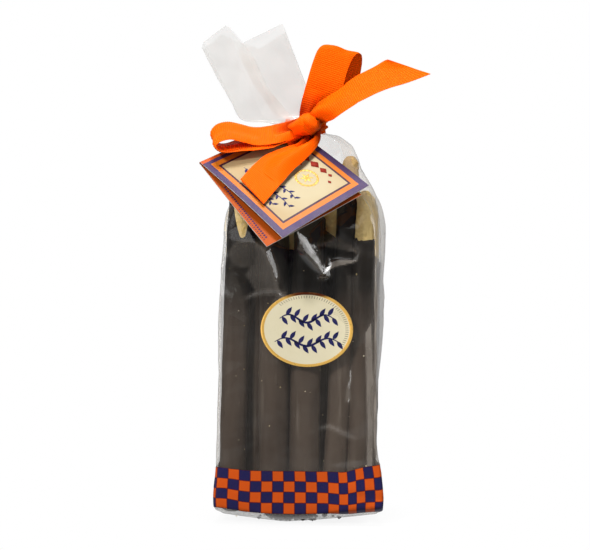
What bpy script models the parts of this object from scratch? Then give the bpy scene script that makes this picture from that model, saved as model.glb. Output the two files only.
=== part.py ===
"""A clear block-bottom gift bag of chocolate coated breadsticks.

The bag stands on its flat base with its front towards -Y.  Its film is gathered in a neck above
the sticks and flares out again in a fan.  A ribbon is tied round the neck in a bow, a folded
card hangs from the ribbon by a punched corner, and an oval label sits on the front of the bag.
"""
import math

import bmesh
import bpy
from mathutils import Vector

# ------------------------------------------------------------------ driving sizes, millimetres
RING_POINTS = 48          # points round a section of the bag
SHEET_STEPS = 3           # sheet faces between two stations of a ribbon
SHEET_SHARES = (-0.5, -0.17, 0.17, 0.5)   # lines of points across a ribbon

FACE = 30.0               # front and back of the bag, from its middle plane
BASE_INSET = 3.5          # how far the flat underside is drawn in from the walls

NECK_CENTRE = (3.0, 6.0)
NECK_HALF = (11.0, 6.0)
NECK_Z = (237.0, 246.0)

WRAP_GAP = 0.5            # film to ribbon
WRAP_THICK = 1.3
WRAP_Z = (237.6, 245.6)
WRAP_TURNS = 36           # faces round the neck

KNOT_CENTRE = (5.0, -17.0, 241.0)
KNOT_HALF = (9.0, 6.0, 7.5)
KNOT_LEVELS = 12
KNOT_TURNS = 20

RIBBON_THICK = 1.0

CARD_THICK = 0.5
CARD_FOLD_GAP = 1.4       # between the two leaves at the fold
CARD_HOLE_IN = 9.0        # from the punched corner, along the diagonal
CARD_HOLE_RADIUS = 2.6
CARD_HOLE_SIDES = 16
CARD_CUT_REACH = 6.0      # how far the punch goes on either side of the front leaf
CARD_STEPS = 6            # faces along each side of a leaf
THROAT_RADIUS = 1.3       # the ribbon's twisted throat that goes through the hole
THROAT_SIDES = 10
THROAT_SIDEWAYS = (0.35, -0.9, 0.2)       # any direction that the throat never runs along

LABEL_CENTRE = (7.8, 119.7)
LABEL_HALF = (28.0, 22.7)
LABEL_THICK = 0.3
LABEL_GAP = 0.3

# The bag's level sections: height, left, right, front, back, and how square the section is.
BODY_SECTIONS = (
    (0.0, -49.0 + BASE_INSET, 53.5 - BASE_INSET, -FACE + BASE_INSET, FACE - BASE_INSET, 10.0),
    (3.0, -49.0, 53.5, -FACE, FACE, 16.0),
    (28.0, -48.5, 53.0, -FACE, FACE, 16.0),
    (50.0, -47.5, 50.0, -FACE, FACE, 16.0),
    (97.0, -46.5, 50.0, -FACE, FACE, 16.0),
    (144.0, -46.0, 50.0, -FACE, FACE, 16.0),
    (165.0, -44.5, 50.0, -26.5, 29.0, 14.0),
    (188.0, -43.0, 49.5, -22.0, 26.0, 9.0),
    (200.0, -38.5, 46.0, -18.5, 23.5, 6.0),
    (212.0, -32.0, 39.5, -14.0, 20.0, 4.0),
    (224.0, -22.0, 34.5, -8.5, 16.5, 3.2),
    (231.0, -14.0, 30.0, -4.0, 14.0, 2.6),
    (235.5, -10.0, 22.0, -1.5, 13.0, 2.3),
)

# The fan above the neck: left edge (x, z), right edge (x, z), front and back.
FAN_SECTIONS = (
    ((-14.0, 248.5), (14.0, 249.5), -1.0, 13.0),
    ((-35.0, 251.0), (9.0, 257.0), -1.0, 14.0),
    ((-45.0, 263.0), (5.5, 267.0), -2.0, 15.0),
    ((-53.0, 276.0), (1.5, 277.0), -3.0, 16.0),
    ((-60.0, 288.0), (-6.0, 292.0), -4.0, 17.0),
)
# The fan's top edge rises in two lobes: place across the fan (-1 to 1), height, half breadth.
FAN_LOBES = ((-0.5, 13.5, 0.36), (0.62, 13.0, 0.5))

# Ribbon stations: the middle of the ribbon, and the vector from its back edge to its front edge.
LEFT_LOOP = (
    ((3.0, -17.0, 243.0), (3.0, -8.0, -4.0)),
    ((-3.0, -17.5, 239.5), (4.0, -13.0, -7.0)),
    ((-13.0, -24.0, 237.0), (4.0, -19.0, -10.0)),
    ((-23.0, -30.0, 236.0), (4.0, -19.0, -10.0)),
    ((-31.0, -36.0, 238.0), (4.0, -19.0, -10.0)),
    ((-38.0, -40.5, 239.5), (4.5, -19.0, -10.0)),
    ((-44.0, -44.0, 238.0), (4.5, -19.0, -9.5)),
    ((-46.5, -46.0, 234.5), (5.0, -19.5, -7.5)),
    ((-44.0, -46.0, 230.5), (5.0, -20.0, -6.0)),
    ((-39.0, -42.5, 229.5), (5.0, -20.0, -5.5)),
    ((-30.0, -37.0, 231.5), (4.5, -20.0, -7.5)),
    ((-22.0, -31.5, 233.0), (4.0, -19.5, -9.5)),
    ((-13.0, -24.0, 234.7), (4.0, -19.0, -10.0)),
    ((-3.0, -18.0, 236.8), (4.0, -12.0, -6.0)),
    ((3.0, -17.5, 238.0), (3.0, -8.0, -3.0)),
)
RIGHT_LOOP = (
    ((6.5, -19.0, 242.0), (7.0, 2.0, -3.0)),
    ((8.5, -18.0, 246.5), (12.0, 3.5, -4.5)),
    ((12.0, -17.0, 252.5), (17.0, 6.0, -6.0)),
    ((15.0, -16.0, 260.0), (19.5, 6.5, -7.0)),
    ((17.5, -14.0, 269.0), (20.0, 6.5, -7.0)),
    ((19.5, -10.5, 277.0), (20.0, 6.5, -6.5)),
    ((22.0, -6.0, 284.5), (20.0, 7.0, -6.0)),
    ((25.0, -1.5, 288.0), (20.0, 7.0, -5.5)),
    ((27.5, 3.5, 287.0), (20.0, 6.5, -6.0)),
    ((27.0, 7.5, 280.0), (20.0, 6.5, -6.0)),
    ((24.5, 8.0, 271.0), (20.0, 6.5, -6.5)),
    ((20.0, 5.0, 261.5), (18.0, 5.5, -7.0)),
    ((14.0, -2.0, 253.5), (14.0, 4.0, -6.0)),
    ((9.5, -10.0, 247.0), (10.0, 3.0, -4.0)),
    ((6.5, -14.5, 243.0), (6.0, 2.0, -3.0)),
)
RIGHT_TAIL = (
    ((7.0, -19.0, 241.0), (5.0, -5.0, -5.0)),
    ((10.5, -22.5, 244.0), (8.0, -8.0, -8.0)),
    ((16.0, -26.0, 248.5), (9.5, -13.0, -10.0)),
    ((21.5, -28.0, 252.5), (8.5, -16.5, -10.0)),
    ((31.0, -27.0, 260.0), (8.0, -17.0, -11.0)),
    ((41.0, -24.0, 266.0), (8.5, -16.5, -12.5)),
    ((51.5, -20.0, 271.0), (9.5, -16.0, -13.0)),
    ((60.0, -17.5, 274.5), (16.0, -16.0, -12.5)),
    ((68.0, -16.0, 277.5), (27.0, -14.5, -8.5)),
)
FRONT_TAIL = (
    ((5.0, -17.5, 240.0), (8.0, -2.0, 0.0)),
    ((7.5, -20.0, 237.5), (13.0, -2.0, -1.0)),
    ((6.0, -25.0, 235.0), (16.5, -1.5, -3.5)),
    ((1.0, -31.0, 230.0), (17.0, -3.0, -6.5)),
    ((-7.5, -42.0, 221.5), (17.5, -6.0, -8.5)),
    ((-14.5, -53.0, 213.0), (16.5, -8.5, -12.0)),
    ((-21.0, -64.0, 204.5), (15.0, -9.5, -14.0)),
)
STRAND = (
    ((15.2, 6.0, 241.6), (0.0, 0.0, -7.0)),
    ((15.2, 1.5, 241.5), (0.0, 0.0, -7.5)),
    ((14.6, -4.0, 241.2), (0.5, 0.0, -8.5)),
    ((13.0, -10.0, 241.0), (0.5, 0.0, -8.0)),
    ((9.5, -15.5, 241.0), (0.5, 0.0, -6.0)),
)
THROAT = (
    (0.0, -1.0, 239.0), (-0.5, -3.2, 237.0), (-3.0, -5.0, 234.8), (-6.5, -7.0, 233.8),
    (-8.0, -8.1, 234.9), (-7.3, -9.9, 237.2), (-6.8, -11.2, 238.9), (-3.0, -14.5, 241.0),
    (2.0, -17.0, 241.0),
)

# The card's corners: punched top, left, right and bottom, and the back leaf's lower two.
CARD_TOP = (-8.0, -3.0, 243.0)
CARD_LEFT = (-53.0, -54.0, 221.0)
CARD_RIGHT = (45.5, -35.0, 207.0)
CARD_BOTTOM = (-1.0, -80.0, 178.5)
CARD_BACK_RIGHT = (41.3, -39.0, 201.5)
CARD_BACK_BOTTOM = (-10.0, -82.0, 173.5)

MM = 0.001


# ------------------------------------------------------------------ shared makers
def clear_scene():
    for obj in list(bpy.data.objects):
        bpy.data.objects.remove(obj, do_unlink=True)


def vec(point):
    return Vector(point) * MM


def finish_mesh(name, bm):
    bmesh.ops.recalc_face_normals(bm, faces=bm.faces)
    mesh = bpy.data.meshes.new(name)
    bm.to_mesh(mesh)
    bm.free()
    obj = bpy.data.objects.new(name, mesh)
    bpy.context.collection.objects.link(obj)
    return obj


def loft(name, rings):
    """A closed solid through rings of equal point counts, with a flat cap at each end."""
    bm = bmesh.new()
    loops = [[bm.verts.new(point) for point in ring] for ring in rings]
    count = len(loops[0])
    for low, high in zip(loops, loops[1:]):
        for i in range(count):
            j = (i + 1) % count
            bm.faces.new((low[i], low[j], high[j], high[i]))
    half = count // 2
    for ring in (loops[0], loops[-1]):
        for i in range(half):
            pair = (ring[i], ring[i + 1], ring[count - i - 1], ring[-i])
            bm.faces.new(list(dict.fromkeys(pair)))
    return finish_mesh(name, bm)


def sheet_normal(grid, i, j):
    rows, columns = len(grid), len(grid[0])
    along = grid[min(i + 1, rows - 1)][j] - grid[max(i - 1, 0)][j]
    across = grid[i][min(j + 1, columns - 1)] - grid[i][max(j - 1, 0)]
    return along.cross(across).normalized()


def thick_sheet(name, grid, thickness):
    """A closed solid of even thickness about a grid of points."""
    bm = bmesh.new()
    rows, columns = len(grid), len(grid[0])
    sides = []
    for sign in (0.5, -0.5):
        offset = sign * thickness * MM
        sides.append([[bm.verts.new(grid[i][j] + sheet_normal(grid, i, j) * offset)
                       for j in range(columns)] for i in range(rows)])
    for side in sides:
        for i in range(rows - 1):
            for j in range(columns - 1):
                bm.faces.new((side[i][j], side[i + 1][j], side[i + 1][j + 1], side[i][j + 1]))
    border = [(i, 0) for i in range(rows)] + [(rows - 1, j) for j in range(1, columns)]
    border += [(i, columns - 1) for i in range(rows - 2, -1, -1)]
    border += [(0, j) for j in range(columns - 2, 0, -1)]
    upper, lower = sides
    for (a, b), (c, d) in zip(border, border[1:] + border[:1]):
        bm.faces.new((upper[a][b], upper[c][d], lower[c][d], lower[a][b]))
    return finish_mesh(name, bm)


def smooth_path(points, steps):
    """Points on a Catmull-Rom curve through the given points."""
    ends = [points[0] * 2 - points[1]] + list(points) + [points[-1] * 2 - points[-2]]
    path = []
    for k in range(1, len(ends) - 2):
        a, b, c, d = ends[k - 1:k + 3]
        for s in range(steps):
            t = s / steps
            path.append(0.5 * (2 * b + (c - a) * t + (2 * a - 5 * b + 4 * c - d) * t ** 2
                               + (3 * b - a - 3 * c + d) * t ** 3))
    return path + [points[-1]]


def boolean(target, tool, operation):
    tool.hide_render = True
    tool.display_type = "WIRE"
    modifier = target.modifiers.new(tool.name, "BOOLEAN")
    modifier.operation = operation
    modifier.solver = "EXACT"
    modifier.object = tool


def material(name, colour, roughness, alpha=1.0):
    made = bpy.data.materials.new(name)
    made.use_nodes = True
    shader = made.node_tree.nodes["Principled BSDF"]
    shader.inputs["Base Color"].default_value = (*colour, 1.0)
    shader.inputs["Roughness"].default_value = roughness
    shader.inputs["Metallic"].default_value = 0.0
    shader.inputs["Alpha"].default_value = alpha
    return made


def finish_piece(obj, made, sharp_degrees=35.0):
    obj.data.materials.append(made)
    obj.data.shade_smooth()
    obj.data.set_sharp_from_angle(angle=math.radians(sharp_degrees))


# ------------------------------------------------------------------ the bag
def superellipse(angle, squareness):
    power = 2.0 / squareness
    c, s = math.cos(angle), math.sin(angle)
    return math.copysign(abs(c) ** power, c), math.copysign(abs(s) ** power, s)


def level_ring(height, left, right, front, back, squareness):
    """A level section; the first point is at its right, and the second half lies at its front."""
    ring = []
    for i in range(RING_POINTS):
        across, deep = superellipse(2 * math.pi * i / RING_POINTS, squareness)
        x = (left + right) / 2 + across * (right - left) / 2
        y = (front + back) / 2 + deep * (back - front) / 2
        ring.append(vec((x, y, height)))
    return ring


def neck_ring(height):
    (x, y), (half_x, half_y) = NECK_CENTRE, NECK_HALF
    return level_ring(height, x - half_x, x + half_x, y - half_y, y + half_y, 2.0)


def fan_ring(left, right, front, back, lobes=()):
    ring = []
    for i in range(RING_POINTS):
        across, deep = superellipse(2 * math.pi * i / RING_POINTS, 2.0)
        share = (across + 1) / 2
        rise = sum(height * math.exp(-((across - place) / breadth) ** 2)
                   for place, height, breadth in lobes)
        x = left[0] + (right[0] - left[0]) * share
        z = left[1] + (right[1] - left[1]) * share + rise
        y = (front + back) / 2 + deep * (back - front) / 2
        ring.append(vec((x, y, z)))
    return ring


def make_bag():
    rings = [level_ring(*section) for section in BODY_SECTIONS]
    rings += [neck_ring(height) for height in NECK_Z]
    rings += [fan_ring(*section) for section in FAN_SECTIONS]
    rings.append(fan_ring(*FAN_SECTIONS[-1], lobes=FAN_LOBES))
    bag = loft("bag", rings)
    finish_piece(bag, material("film", (0.72, 0.70, 0.66), 0.08, 0.4))


# ------------------------------------------------------------------ the ribbon
def ribbon_strip(name, stations):
    middles = smooth_path([vec(middle) for middle, _ in stations], SHEET_STEPS)
    widths = smooth_path([vec(width) for _, width in stations], SHEET_STEPS)
    grid = [[middle + width * share for share in SHEET_SHARES]
            for middle, width in zip(middles, widths)]
    return thick_sheet(name, grid, RIBBON_THICK)


def make_knot():
    rings = []
    for level in range(1, KNOT_LEVELS):
        polar = math.pi * level / KNOT_LEVELS
        reach, up = math.sin(polar), math.cos(polar)
        turn = [2 * math.pi * i / KNOT_TURNS for i in range(KNOT_TURNS)]
        rings.append([vec((KNOT_CENTRE[0] + KNOT_HALF[0] * reach * math.cos(a),
                           KNOT_CENTRE[1] + KNOT_HALF[1] * reach * math.sin(a),
                           KNOT_CENTRE[2] + KNOT_HALF[2] * up)) for a in turn])
    return loft("ribbon", rings)


def make_wrap():
    """The band of ribbon round the neck, as a closed ring of rectangular section."""
    bm = bmesh.new()
    inner = [half + WRAP_GAP for half in NECK_HALF]
    corners = ((0.0, WRAP_Z[0]), (WRAP_THICK, WRAP_Z[0]), (WRAP_THICK, WRAP_Z[1]), (0.0, WRAP_Z[1]))
    loops = []
    for i in range(WRAP_TURNS):
        angle = 2 * math.pi * i / WRAP_TURNS
        loops.append([bm.verts.new(vec((NECK_CENTRE[0] + (inner[0] + out) * math.cos(angle),
                                        NECK_CENTRE[1] + (inner[1] + out) * math.sin(angle),
                                        height))) for out, height in corners])
    for here, there in zip(loops, loops[1:] + loops[:1]):
        for k in range(4):
            m = (k + 1) % 4
            bm.faces.new((here[k], here[m], there[m], there[k]))
    return finish_mesh("wrap", bm)


def make_throat():
    path = smooth_path([vec(point) for point in THROAT], SHEET_STEPS)
    rings = []
    for i, point in enumerate(path):
        ahead = (path[min(i + 1, len(path) - 1)] - path[max(i - 1, 0)]).normalized()
        side = ahead.cross(Vector(THROAT_SIDEWAYS)).normalized()
        other = ahead.cross(side)
        rings.append([point + (side * math.cos(a) + other * math.sin(a)) * THROAT_RADIUS * MM
                      for a in (2 * math.pi * k / THROAT_SIDES for k in range(THROAT_SIDES))])
    return loft("throat", rings)


def make_ribbon():
    ribbon = make_knot()
    parts = [ribbon_strip("left_loop", LEFT_LOOP), ribbon_strip("right_loop", RIGHT_LOOP),
             ribbon_strip("right_tail", RIGHT_TAIL), ribbon_strip("front_tail", FRONT_TAIL),
             ribbon_strip("strand", STRAND), make_wrap(), make_throat()]
    for part in parts:
        boolean(ribbon, part, "UNION")
    finish_piece(ribbon, material("ribbon", (0.95, 0.30, 0.02), 0.6))


# ------------------------------------------------------------------ the folded card
def leaf_point(corners, along, down):
    """A point on a leaf: along runs down the fold, down runs away from it."""
    top, left, right, bottom = corners
    return (top * (1 - along) * (1 - down) + left * along * (1 - down)
            + right * (1 - along) * down + bottom * along * down)


def make_card():
    top, left, right, bottom = (vec(p) for p in (CARD_TOP, CARD_LEFT, CARD_RIGHT, CARD_BOTTOM))
    normal = (right - left).cross(top - bottom).normalized()
    behind = -normal * CARD_FOLD_GAP * MM
    front_leaf = (top, left, right, bottom)
    back_leaf = (top + behind, left + behind, vec(CARD_BACK_RIGHT), vec(CARD_BACK_BOTTOM))
    grid = []
    for i in range(CARD_STEPS + 1):
        along = i / CARD_STEPS
        row = [leaf_point(front_leaf, along, 1 - j / CARD_STEPS) for j in range(CARD_STEPS + 1)]
        out = (top - right).normalized() * CARD_FOLD_GAP * 0.5 * MM
        row.append(leaf_point(front_leaf, along, 0.0) + behind * 0.5 + out)
        row += [leaf_point(back_leaf, along, j / CARD_STEPS) for j in range(CARD_STEPS + 1)]
        grid.append(row)
    card = thick_sheet("tag", grid, CARD_THICK)
    middle = (top + left + right + bottom) / 4
    hole = top + (middle - top).normalized() * CARD_HOLE_IN * MM
    rings = []
    side = normal.cross(top - middle).normalized()
    other = normal.cross(side)
    for reach in (-CARD_CUT_REACH, CARD_CUT_REACH):
        rings.append([hole + normal * reach * MM
                      + (side * math.cos(a) + other * math.sin(a)) * CARD_HOLE_RADIUS * MM
                      for a in (2 * math.pi * k / CARD_HOLE_SIDES for k in range(CARD_HOLE_SIDES))])
    boolean(card, loft("tag_hole", rings), "DIFFERENCE")
    finish_piece(card, material("card", (0.93, 0.86, 0.66), 0.45), 50.0)


# ------------------------------------------------------------------ the oval label
def make_label():
    rings = []
    for depth in (LABEL_GAP, LABEL_GAP + LABEL_THICK):
        turn = (2 * math.pi * k / RING_POINTS for k in range(RING_POINTS))
        rings.append([vec((LABEL_CENTRE[0] + LABEL_HALF[0] * math.cos(a), -FACE - depth,
                           LABEL_CENTRE[1] + LABEL_HALF[1] * math.sin(a))) for a in turn])
    label = loft("label", rings)
    finish_piece(label, material("label", (0.85, 0.80, 0.66), 0.5))


def main():
    clear_scene()
    make_bag()
    make_ribbon()
    make_card()
    make_label()


main()
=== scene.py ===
"""The looks of a clear gift bag of chocolate coated breadsticks.

The bag is one skin of crisp film: a block bottom, upright walls, a gathered neck and a fan of
loose film above it.  Inside stand sixteen breadsticks, each a baked core in a chocolate coat.  A
woven ribbon is tied round the neck in a bow and holds a folded card by its punched corner.  The
foot of the film is printed with a check, and an oval label with a gilt rim sits on the front.

Sizes are in millimetres, and points become metres as they go into a mesh.
"""
import math
import random

import bmesh
import bpy
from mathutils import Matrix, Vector, geometry, noise
from mathutils.bvhtree import BVHTree


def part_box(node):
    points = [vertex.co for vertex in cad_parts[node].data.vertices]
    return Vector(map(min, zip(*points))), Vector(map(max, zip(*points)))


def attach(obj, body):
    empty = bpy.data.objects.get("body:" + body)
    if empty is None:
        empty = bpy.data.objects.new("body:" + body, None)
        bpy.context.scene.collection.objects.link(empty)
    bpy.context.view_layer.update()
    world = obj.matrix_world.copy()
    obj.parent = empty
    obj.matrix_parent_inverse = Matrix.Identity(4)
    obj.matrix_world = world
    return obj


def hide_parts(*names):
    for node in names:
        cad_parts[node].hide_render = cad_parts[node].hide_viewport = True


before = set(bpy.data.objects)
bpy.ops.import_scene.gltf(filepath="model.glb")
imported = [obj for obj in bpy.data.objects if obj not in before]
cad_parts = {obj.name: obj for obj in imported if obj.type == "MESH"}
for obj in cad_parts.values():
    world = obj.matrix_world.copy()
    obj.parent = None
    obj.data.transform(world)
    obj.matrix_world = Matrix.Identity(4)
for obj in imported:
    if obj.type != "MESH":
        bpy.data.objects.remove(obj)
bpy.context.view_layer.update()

MM = 0.001
SEED = 11

# ------------------------------------------------------------------ the film
FACE_COLUMNS = (("front", 108), ("right", 48), ("back", 72), ("left", 48))
FILM_ROW = 1.0                    # height of a row of the film's mesh
NECK_MIDDLE = 241.5
NECK_CENTRE = Vector((3.0, 6.0))
NECK_HALF = Vector((11.0, 6.0))
NECK_SECTIONS_BELOW = 246.5       # sections above this height belong to the fan
CORNER_LIFT = (6.2, 5.6)          # how far the foot's left and right corners clear the ground
FOOT_TUCK = 8.0                   # how far the foot's front edge runs in underneath
FOOT_SPLAY = 7.0
FOOT_MIDDLE = -6.0
FOOT_LIFT_ENDS = 45.0
BASE_RINGS = 14

PLEAT_COLUMNS = (26, 52)
PLEAT_START = (196.0, 226.0)
PLEAT_DEPTH = 2.0
CREASE_MILK = 0.18                # how much the film scatters at a sharp crease
EDGE_HIGHLIGHT_MILK = 0.75                  # and along the front's upright edges

# Creases of the front wall, each as a line of (x, z, how far it stands out).
CREASES = (
    ((-45.0, 175.0, 0.2), (-34.7, 173.7, 1.6), (-28.1, 172.1, 2.3), (-23.7, 171.4, 2.7),
     (-17.9, 166.9, 2.9), (-13.3, 157.0, 1.9), (-9.3, 143.1, 0.6), (-22.8, 142.3, 0.1),
     (-29.7, 151.0, 0.7), (-27.8, 156.0, 1.3), (-38.0, 160.0, 0.7), (-45.5, 157.0, 0.2)),
    ((-38.0, 160.0, 0.7), (-39.5, 164.5, 1.4), (-34.7, 173.7, 1.6)),
    ((-23.7, 171.4, 2.7), (-23.2, 159.4, 1.5), (-27.8, 156.0, 1.3)),
    ((-38.6, 157.5, 0.3), (-34.7, 146.8, 0.9), (-31.6, 137.1, 0.8), (-29.6, 122.6, 0.1)),
    ((-15.3, 169.0, 0.5), (-10.6, 157.0, 0.1), (-6.0, 143.8, -0.2), (-4.4, 139.2, 0.0)),
    ((-22.8, 140.6, -0.7), (-9.5, 141.6, -0.3)),
    ((-9.3, 143.1, 0.6), (-5.8, 139.6, 0.6), (-13.4, 135.6, 0.1)),
    ((0.8, 179.2, -0.2), (3.0, 171.7, -0.4), (7.1, 165.8, -0.5), (12.6, 159.9, -0.9),
     (17.0, 153.7, -1.9)),
    ((0.8, 179.2, -0.2), (6.9, 175.6, 1.7), (10.0, 171.3, 1.9), (12.9, 166.5, 1.6),
     (17.0, 158.6, -0.1), (17.0, 153.7, -1.9)),
    ((8.6, 176.2, 0.4), (12.0, 171.6, 0.5), (14.6, 166.8, 0.6), (18.4, 159.0, -0.3)),
    ((1.4, 168.2, 0.3), (6.3, 163.6, 0.2), (12.0, 157.5, -0.2)),
    ((17.0, 153.7, -1.9), (20.4, 157.0, 0.6), (23.2, 159.6, 1.6), (28.2, 160.7, 1.6),
     (37.0, 160.7, 1.0)),
    ((19.8, 160.4, -0.2), (22.2, 162.4, 0.7), (28.2, 163.3, 0.9), (37.2, 163.2, 0.6)),
    ((13.3, 151.2, -0.3), (17.4, 150.2, 0.1), (21.6, 151.4, -0.1)),
    ((13.1, 170.2, 0.3), (19.8, 169.8, 0.9), (24.0, 170.0, 1.0), (33.0, 168.0, 0.9),
     (38.7, 166.1, 0.7), (34.0, 170.6, 1.2), (25.4, 175.9, 1.9), (13.1, 170.2, 0.3)),
    ((19.8, 169.8, 0.9), (19.9, 164.0, 0.7)),
    ((14.0, 173.4, 0.0), (25.4, 180.5, 0.5), (36.5, 172.0, 0.3)),
    ((38.0, 199.0, 0.5), (38.5, 180.0, 0.9), (39.4, 166.0, 0.9), (39.0, 153.5, 0.7),
     (35.0, 148.7, 0.6), (27.9, 137.2, 0.2)),
    ((29.7, 107.5, 0.1), (32.8, 74.2, 0.7), (35.2, 107.6, 0.1)),
    ((31.0, 90.0, -0.2), (32.9, 77.5, 0.0)),
    ((14.6, 59.8, 0.1), (21.9, 61.8, 0.6), (31.0, 57.7, 0.7), (38.3, 52.9, 0.1)),
    ((15.0, 58.0, 0.0), (22.0, 60.2, -0.2), (30.0, 56.0, -0.2)),
    ((21.9, 37.0, 0.1), (35.3, 39.4, 0.8), (49.0, 40.9, 0.3)),
    ((28.0, 36.4, 0.0), (35.0, 36.0, -0.3), (46.0, 38.0, 0.0)),
    ((-45.0, 60.0, 0.3), (-41.5, 46.0, 0.6), (-38.0, 38.0, 0.2)),
)
RELIEF_TRIES = 5200
# Facets of the front film that look milky, each as how milky and its outline in (x, z). The milk of the
# brightest, the shard, the curved patch and the right edge strip, is partly real haze and partly a painted
# highlight of the light they catch.
FACETS = (
    (0.070, (-34.5, 173.3), (-27.0, 174.5), (-24.1, 172.8), (-23.0, 160.9), (-26.6, 157.4),
     (-32.4, 156.8), (-37.1, 158.5), (-39.5, 162.4), (-39.8, 167.0)),
    (0.100, (-24.1, 172.8), (-17.6, 167.2), (-14.0, 160.4), (-9.0, 142.9), (-22.9, 142.7),
     (-29.4, 152.3), (-26.6, 157.4), (-23.0, 160.9)),
    (0.060, (-9.0, 142.9), (-5.0, 140.0), (-13.7, 135.3)),
    (0.030, (-37.0, 154.5), (-32.2, 145.5), (-28.7, 121.3), (-43.2, 120.0), (-41.4, 136.2),
     (-42.8, 152.2)),
    (0.240, (0.6, 178.7), (7.1, 174.2), (9.5, 170.8), (12.5, 165.2), (16.6, 157.9), (17.3, 153.3),
     (11.4, 158.4), (6.7, 164.0), (1.5, 167.9), (3.1, 173.0)),
    (0.120, (13.5, 170.3), (24.9, 176.0), (34.2, 170.5), (38.6, 166.0), (30.8, 167.6),
     (22.7, 169.2)),
    (0.360, (20.7, 155.1), (22.9, 160.7), (26.3, 161.7), (37.8, 161.4), (35.5, 160.3),
     (25.2, 157.9)),
    (0.220, (14.4, 151.4), (17.3, 152.3), (20.2, 151.4), (17.3, 150.3)),
    (0.300, (43.2, 118.0), (46.6, 124.0), (48.3, 90.0), (47.6, 30.0), (44.0, 28.0), (44.6, 60.0)),
    (0.030, (31.6, 152.9), (39.1, 153.0), (38.1, 132.5), (33.5, 132.4)),
)
# Facets of the front film that catch the light, each as how brightly and its outline in (x, z).
GLINTS = (
    (0.500, (1.5, 167.9), (6.7, 164.0), (11.4, 158.4), (17.3, 153.3), (15.9, 153.3), (10.0, 156.4),
     (4.5, 162.3)),
    (0.450, (17.9, 153.3), (19.6, 156.9), (22.6, 160.3), (23.9, 159.4), (21.5, 156.2)),
    (0.120, (0.6, 178.7), (7.1, 174.2), (9.5, 170.8), (12.5, 165.2), (16.6, 157.9), (17.3, 153.3),
     (11.4, 158.4), (8.4, 168.0)),
)
SHOULDER = ((196.0, 50.6), (215.3, 37.3), (227.4, 34.2), (237.1, 21.1))  # height, reach right
SOFT_EDGE = 0.45                  # half the breadth of a facet's outline
PERIMETER = 320.0                 # the walls unrolled: front 100, sides 60 and back 100

# The fan above the neck: left edge (x, z), right edge (x, z), front and back.
FAN_SECTIONS = (
    ((-8.0, 241.5), (14.0, 241.5), 0.0, 12.0),
    ((-22.0, 243.2), (14.0, 246.0), -0.5, 12.5),
    ((-36.5, 245.0), (11.0, 251.5), -1.0, 13.0),
    ((-42.7, 255.5), (6.5, 258.5), -1.5, 14.0),
    ((-48.0, 264.5), (3.0, 267.0), -2.0, 15.0),
    ((-53.2, 273.5), (-1.0, 277.0), -3.0, 16.0),
    ((-61.0, 289.0), (-9.3, 298.7), -4.0, 17.0),
)
FAN_ROWS = 64
# Folds of the fan at its top edge, once round: place across, depth, and rise above the section.
FAN_FOLDS = (
    (-1.0, 5.0, 0.0), (-0.96, 3.0, 3.1), (-0.47, 1.0, 10.1), (-0.40, 0.8, 10.8), (-0.31, 0.9, 9.2),
    (0.01, 1.4, -2.1), (0.25, 2.4, -11.3), (-0.12, 4.2, -7.0), (0.01, 4.8, -1.4), (0.90, 6.0, 5.4),
    (0.945, 6.3, 4.6), (1.0, 7.6, 0.0), (0.35, 9.4, -7.0), (-0.25, 10.4, 1.0), (-0.55, 9.4, 6.0),
    (-0.97, 7.0, -1.0),
)

# ------------------------------------------------------------------ the printed check
CHECK_WIDTH = 6.93
CHECK_ROWS = 4
CHECK_START = 0.8                 # from the front's left corner to the first edge of a square
CHECK_TUCK = 6.0                  # how much of the print is gathered up at the front's right
CHECK_FOOT = 7.0
CHECK_HEAD = 32.9
CHECK_OUTSIDE = 0.2               # the print stands this far out from the film

# ------------------------------------------------------------------ the breadsticks
COAT = 1.0
FOOT_HEIGHT = 6.5                 # the sticks stand in a bed of crumbs on the folded base
# foot (x, y), head (x, y), radius, top of the coat, top of the bread, sideways bow, and where
# the coat's edge dips: its direction in degrees, its breadth, and its depth.
FRONT_STICKS = (
    ((-39.6, -20.8), (-34.4, -11.0), 7.9, 198.0, 205.0, -0.5, (-66.0, 82.0, 24.0)),
    ((-14.1, -19.8), (-15.0, -9.0), 9.3, 188.0, 200.0, 1.1, (-60.0, 90.0, 5.0)),
    ((5.2, -19.9), (7.8, -8.5), 9.2, 190.0, 205.0, -0.9, (-120.0, 90.0, 6.0)),
    ((21.8, -20.4), (31.2, 1.5), 7.3, 211.0, 223.5, 1.5, (-12.0, 75.0, 24.0)),
    ((36.5, -18.6), (41.2, -9.0), 6.5, 173.5, 203.0, 0.4, (-70.0, 80.0, 1.0)),
    ((40.3, -4.0), (42.0, 4.0), 6.7, 165.0, 200.0, 0.4, (0.0, 90.0, 4.0)),
    ((38.6, 14.0), (42.2, 17.0), 7.0, 160.0, 196.0, 0.4, (-20.0, 90.0, 4.0)),
)
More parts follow.
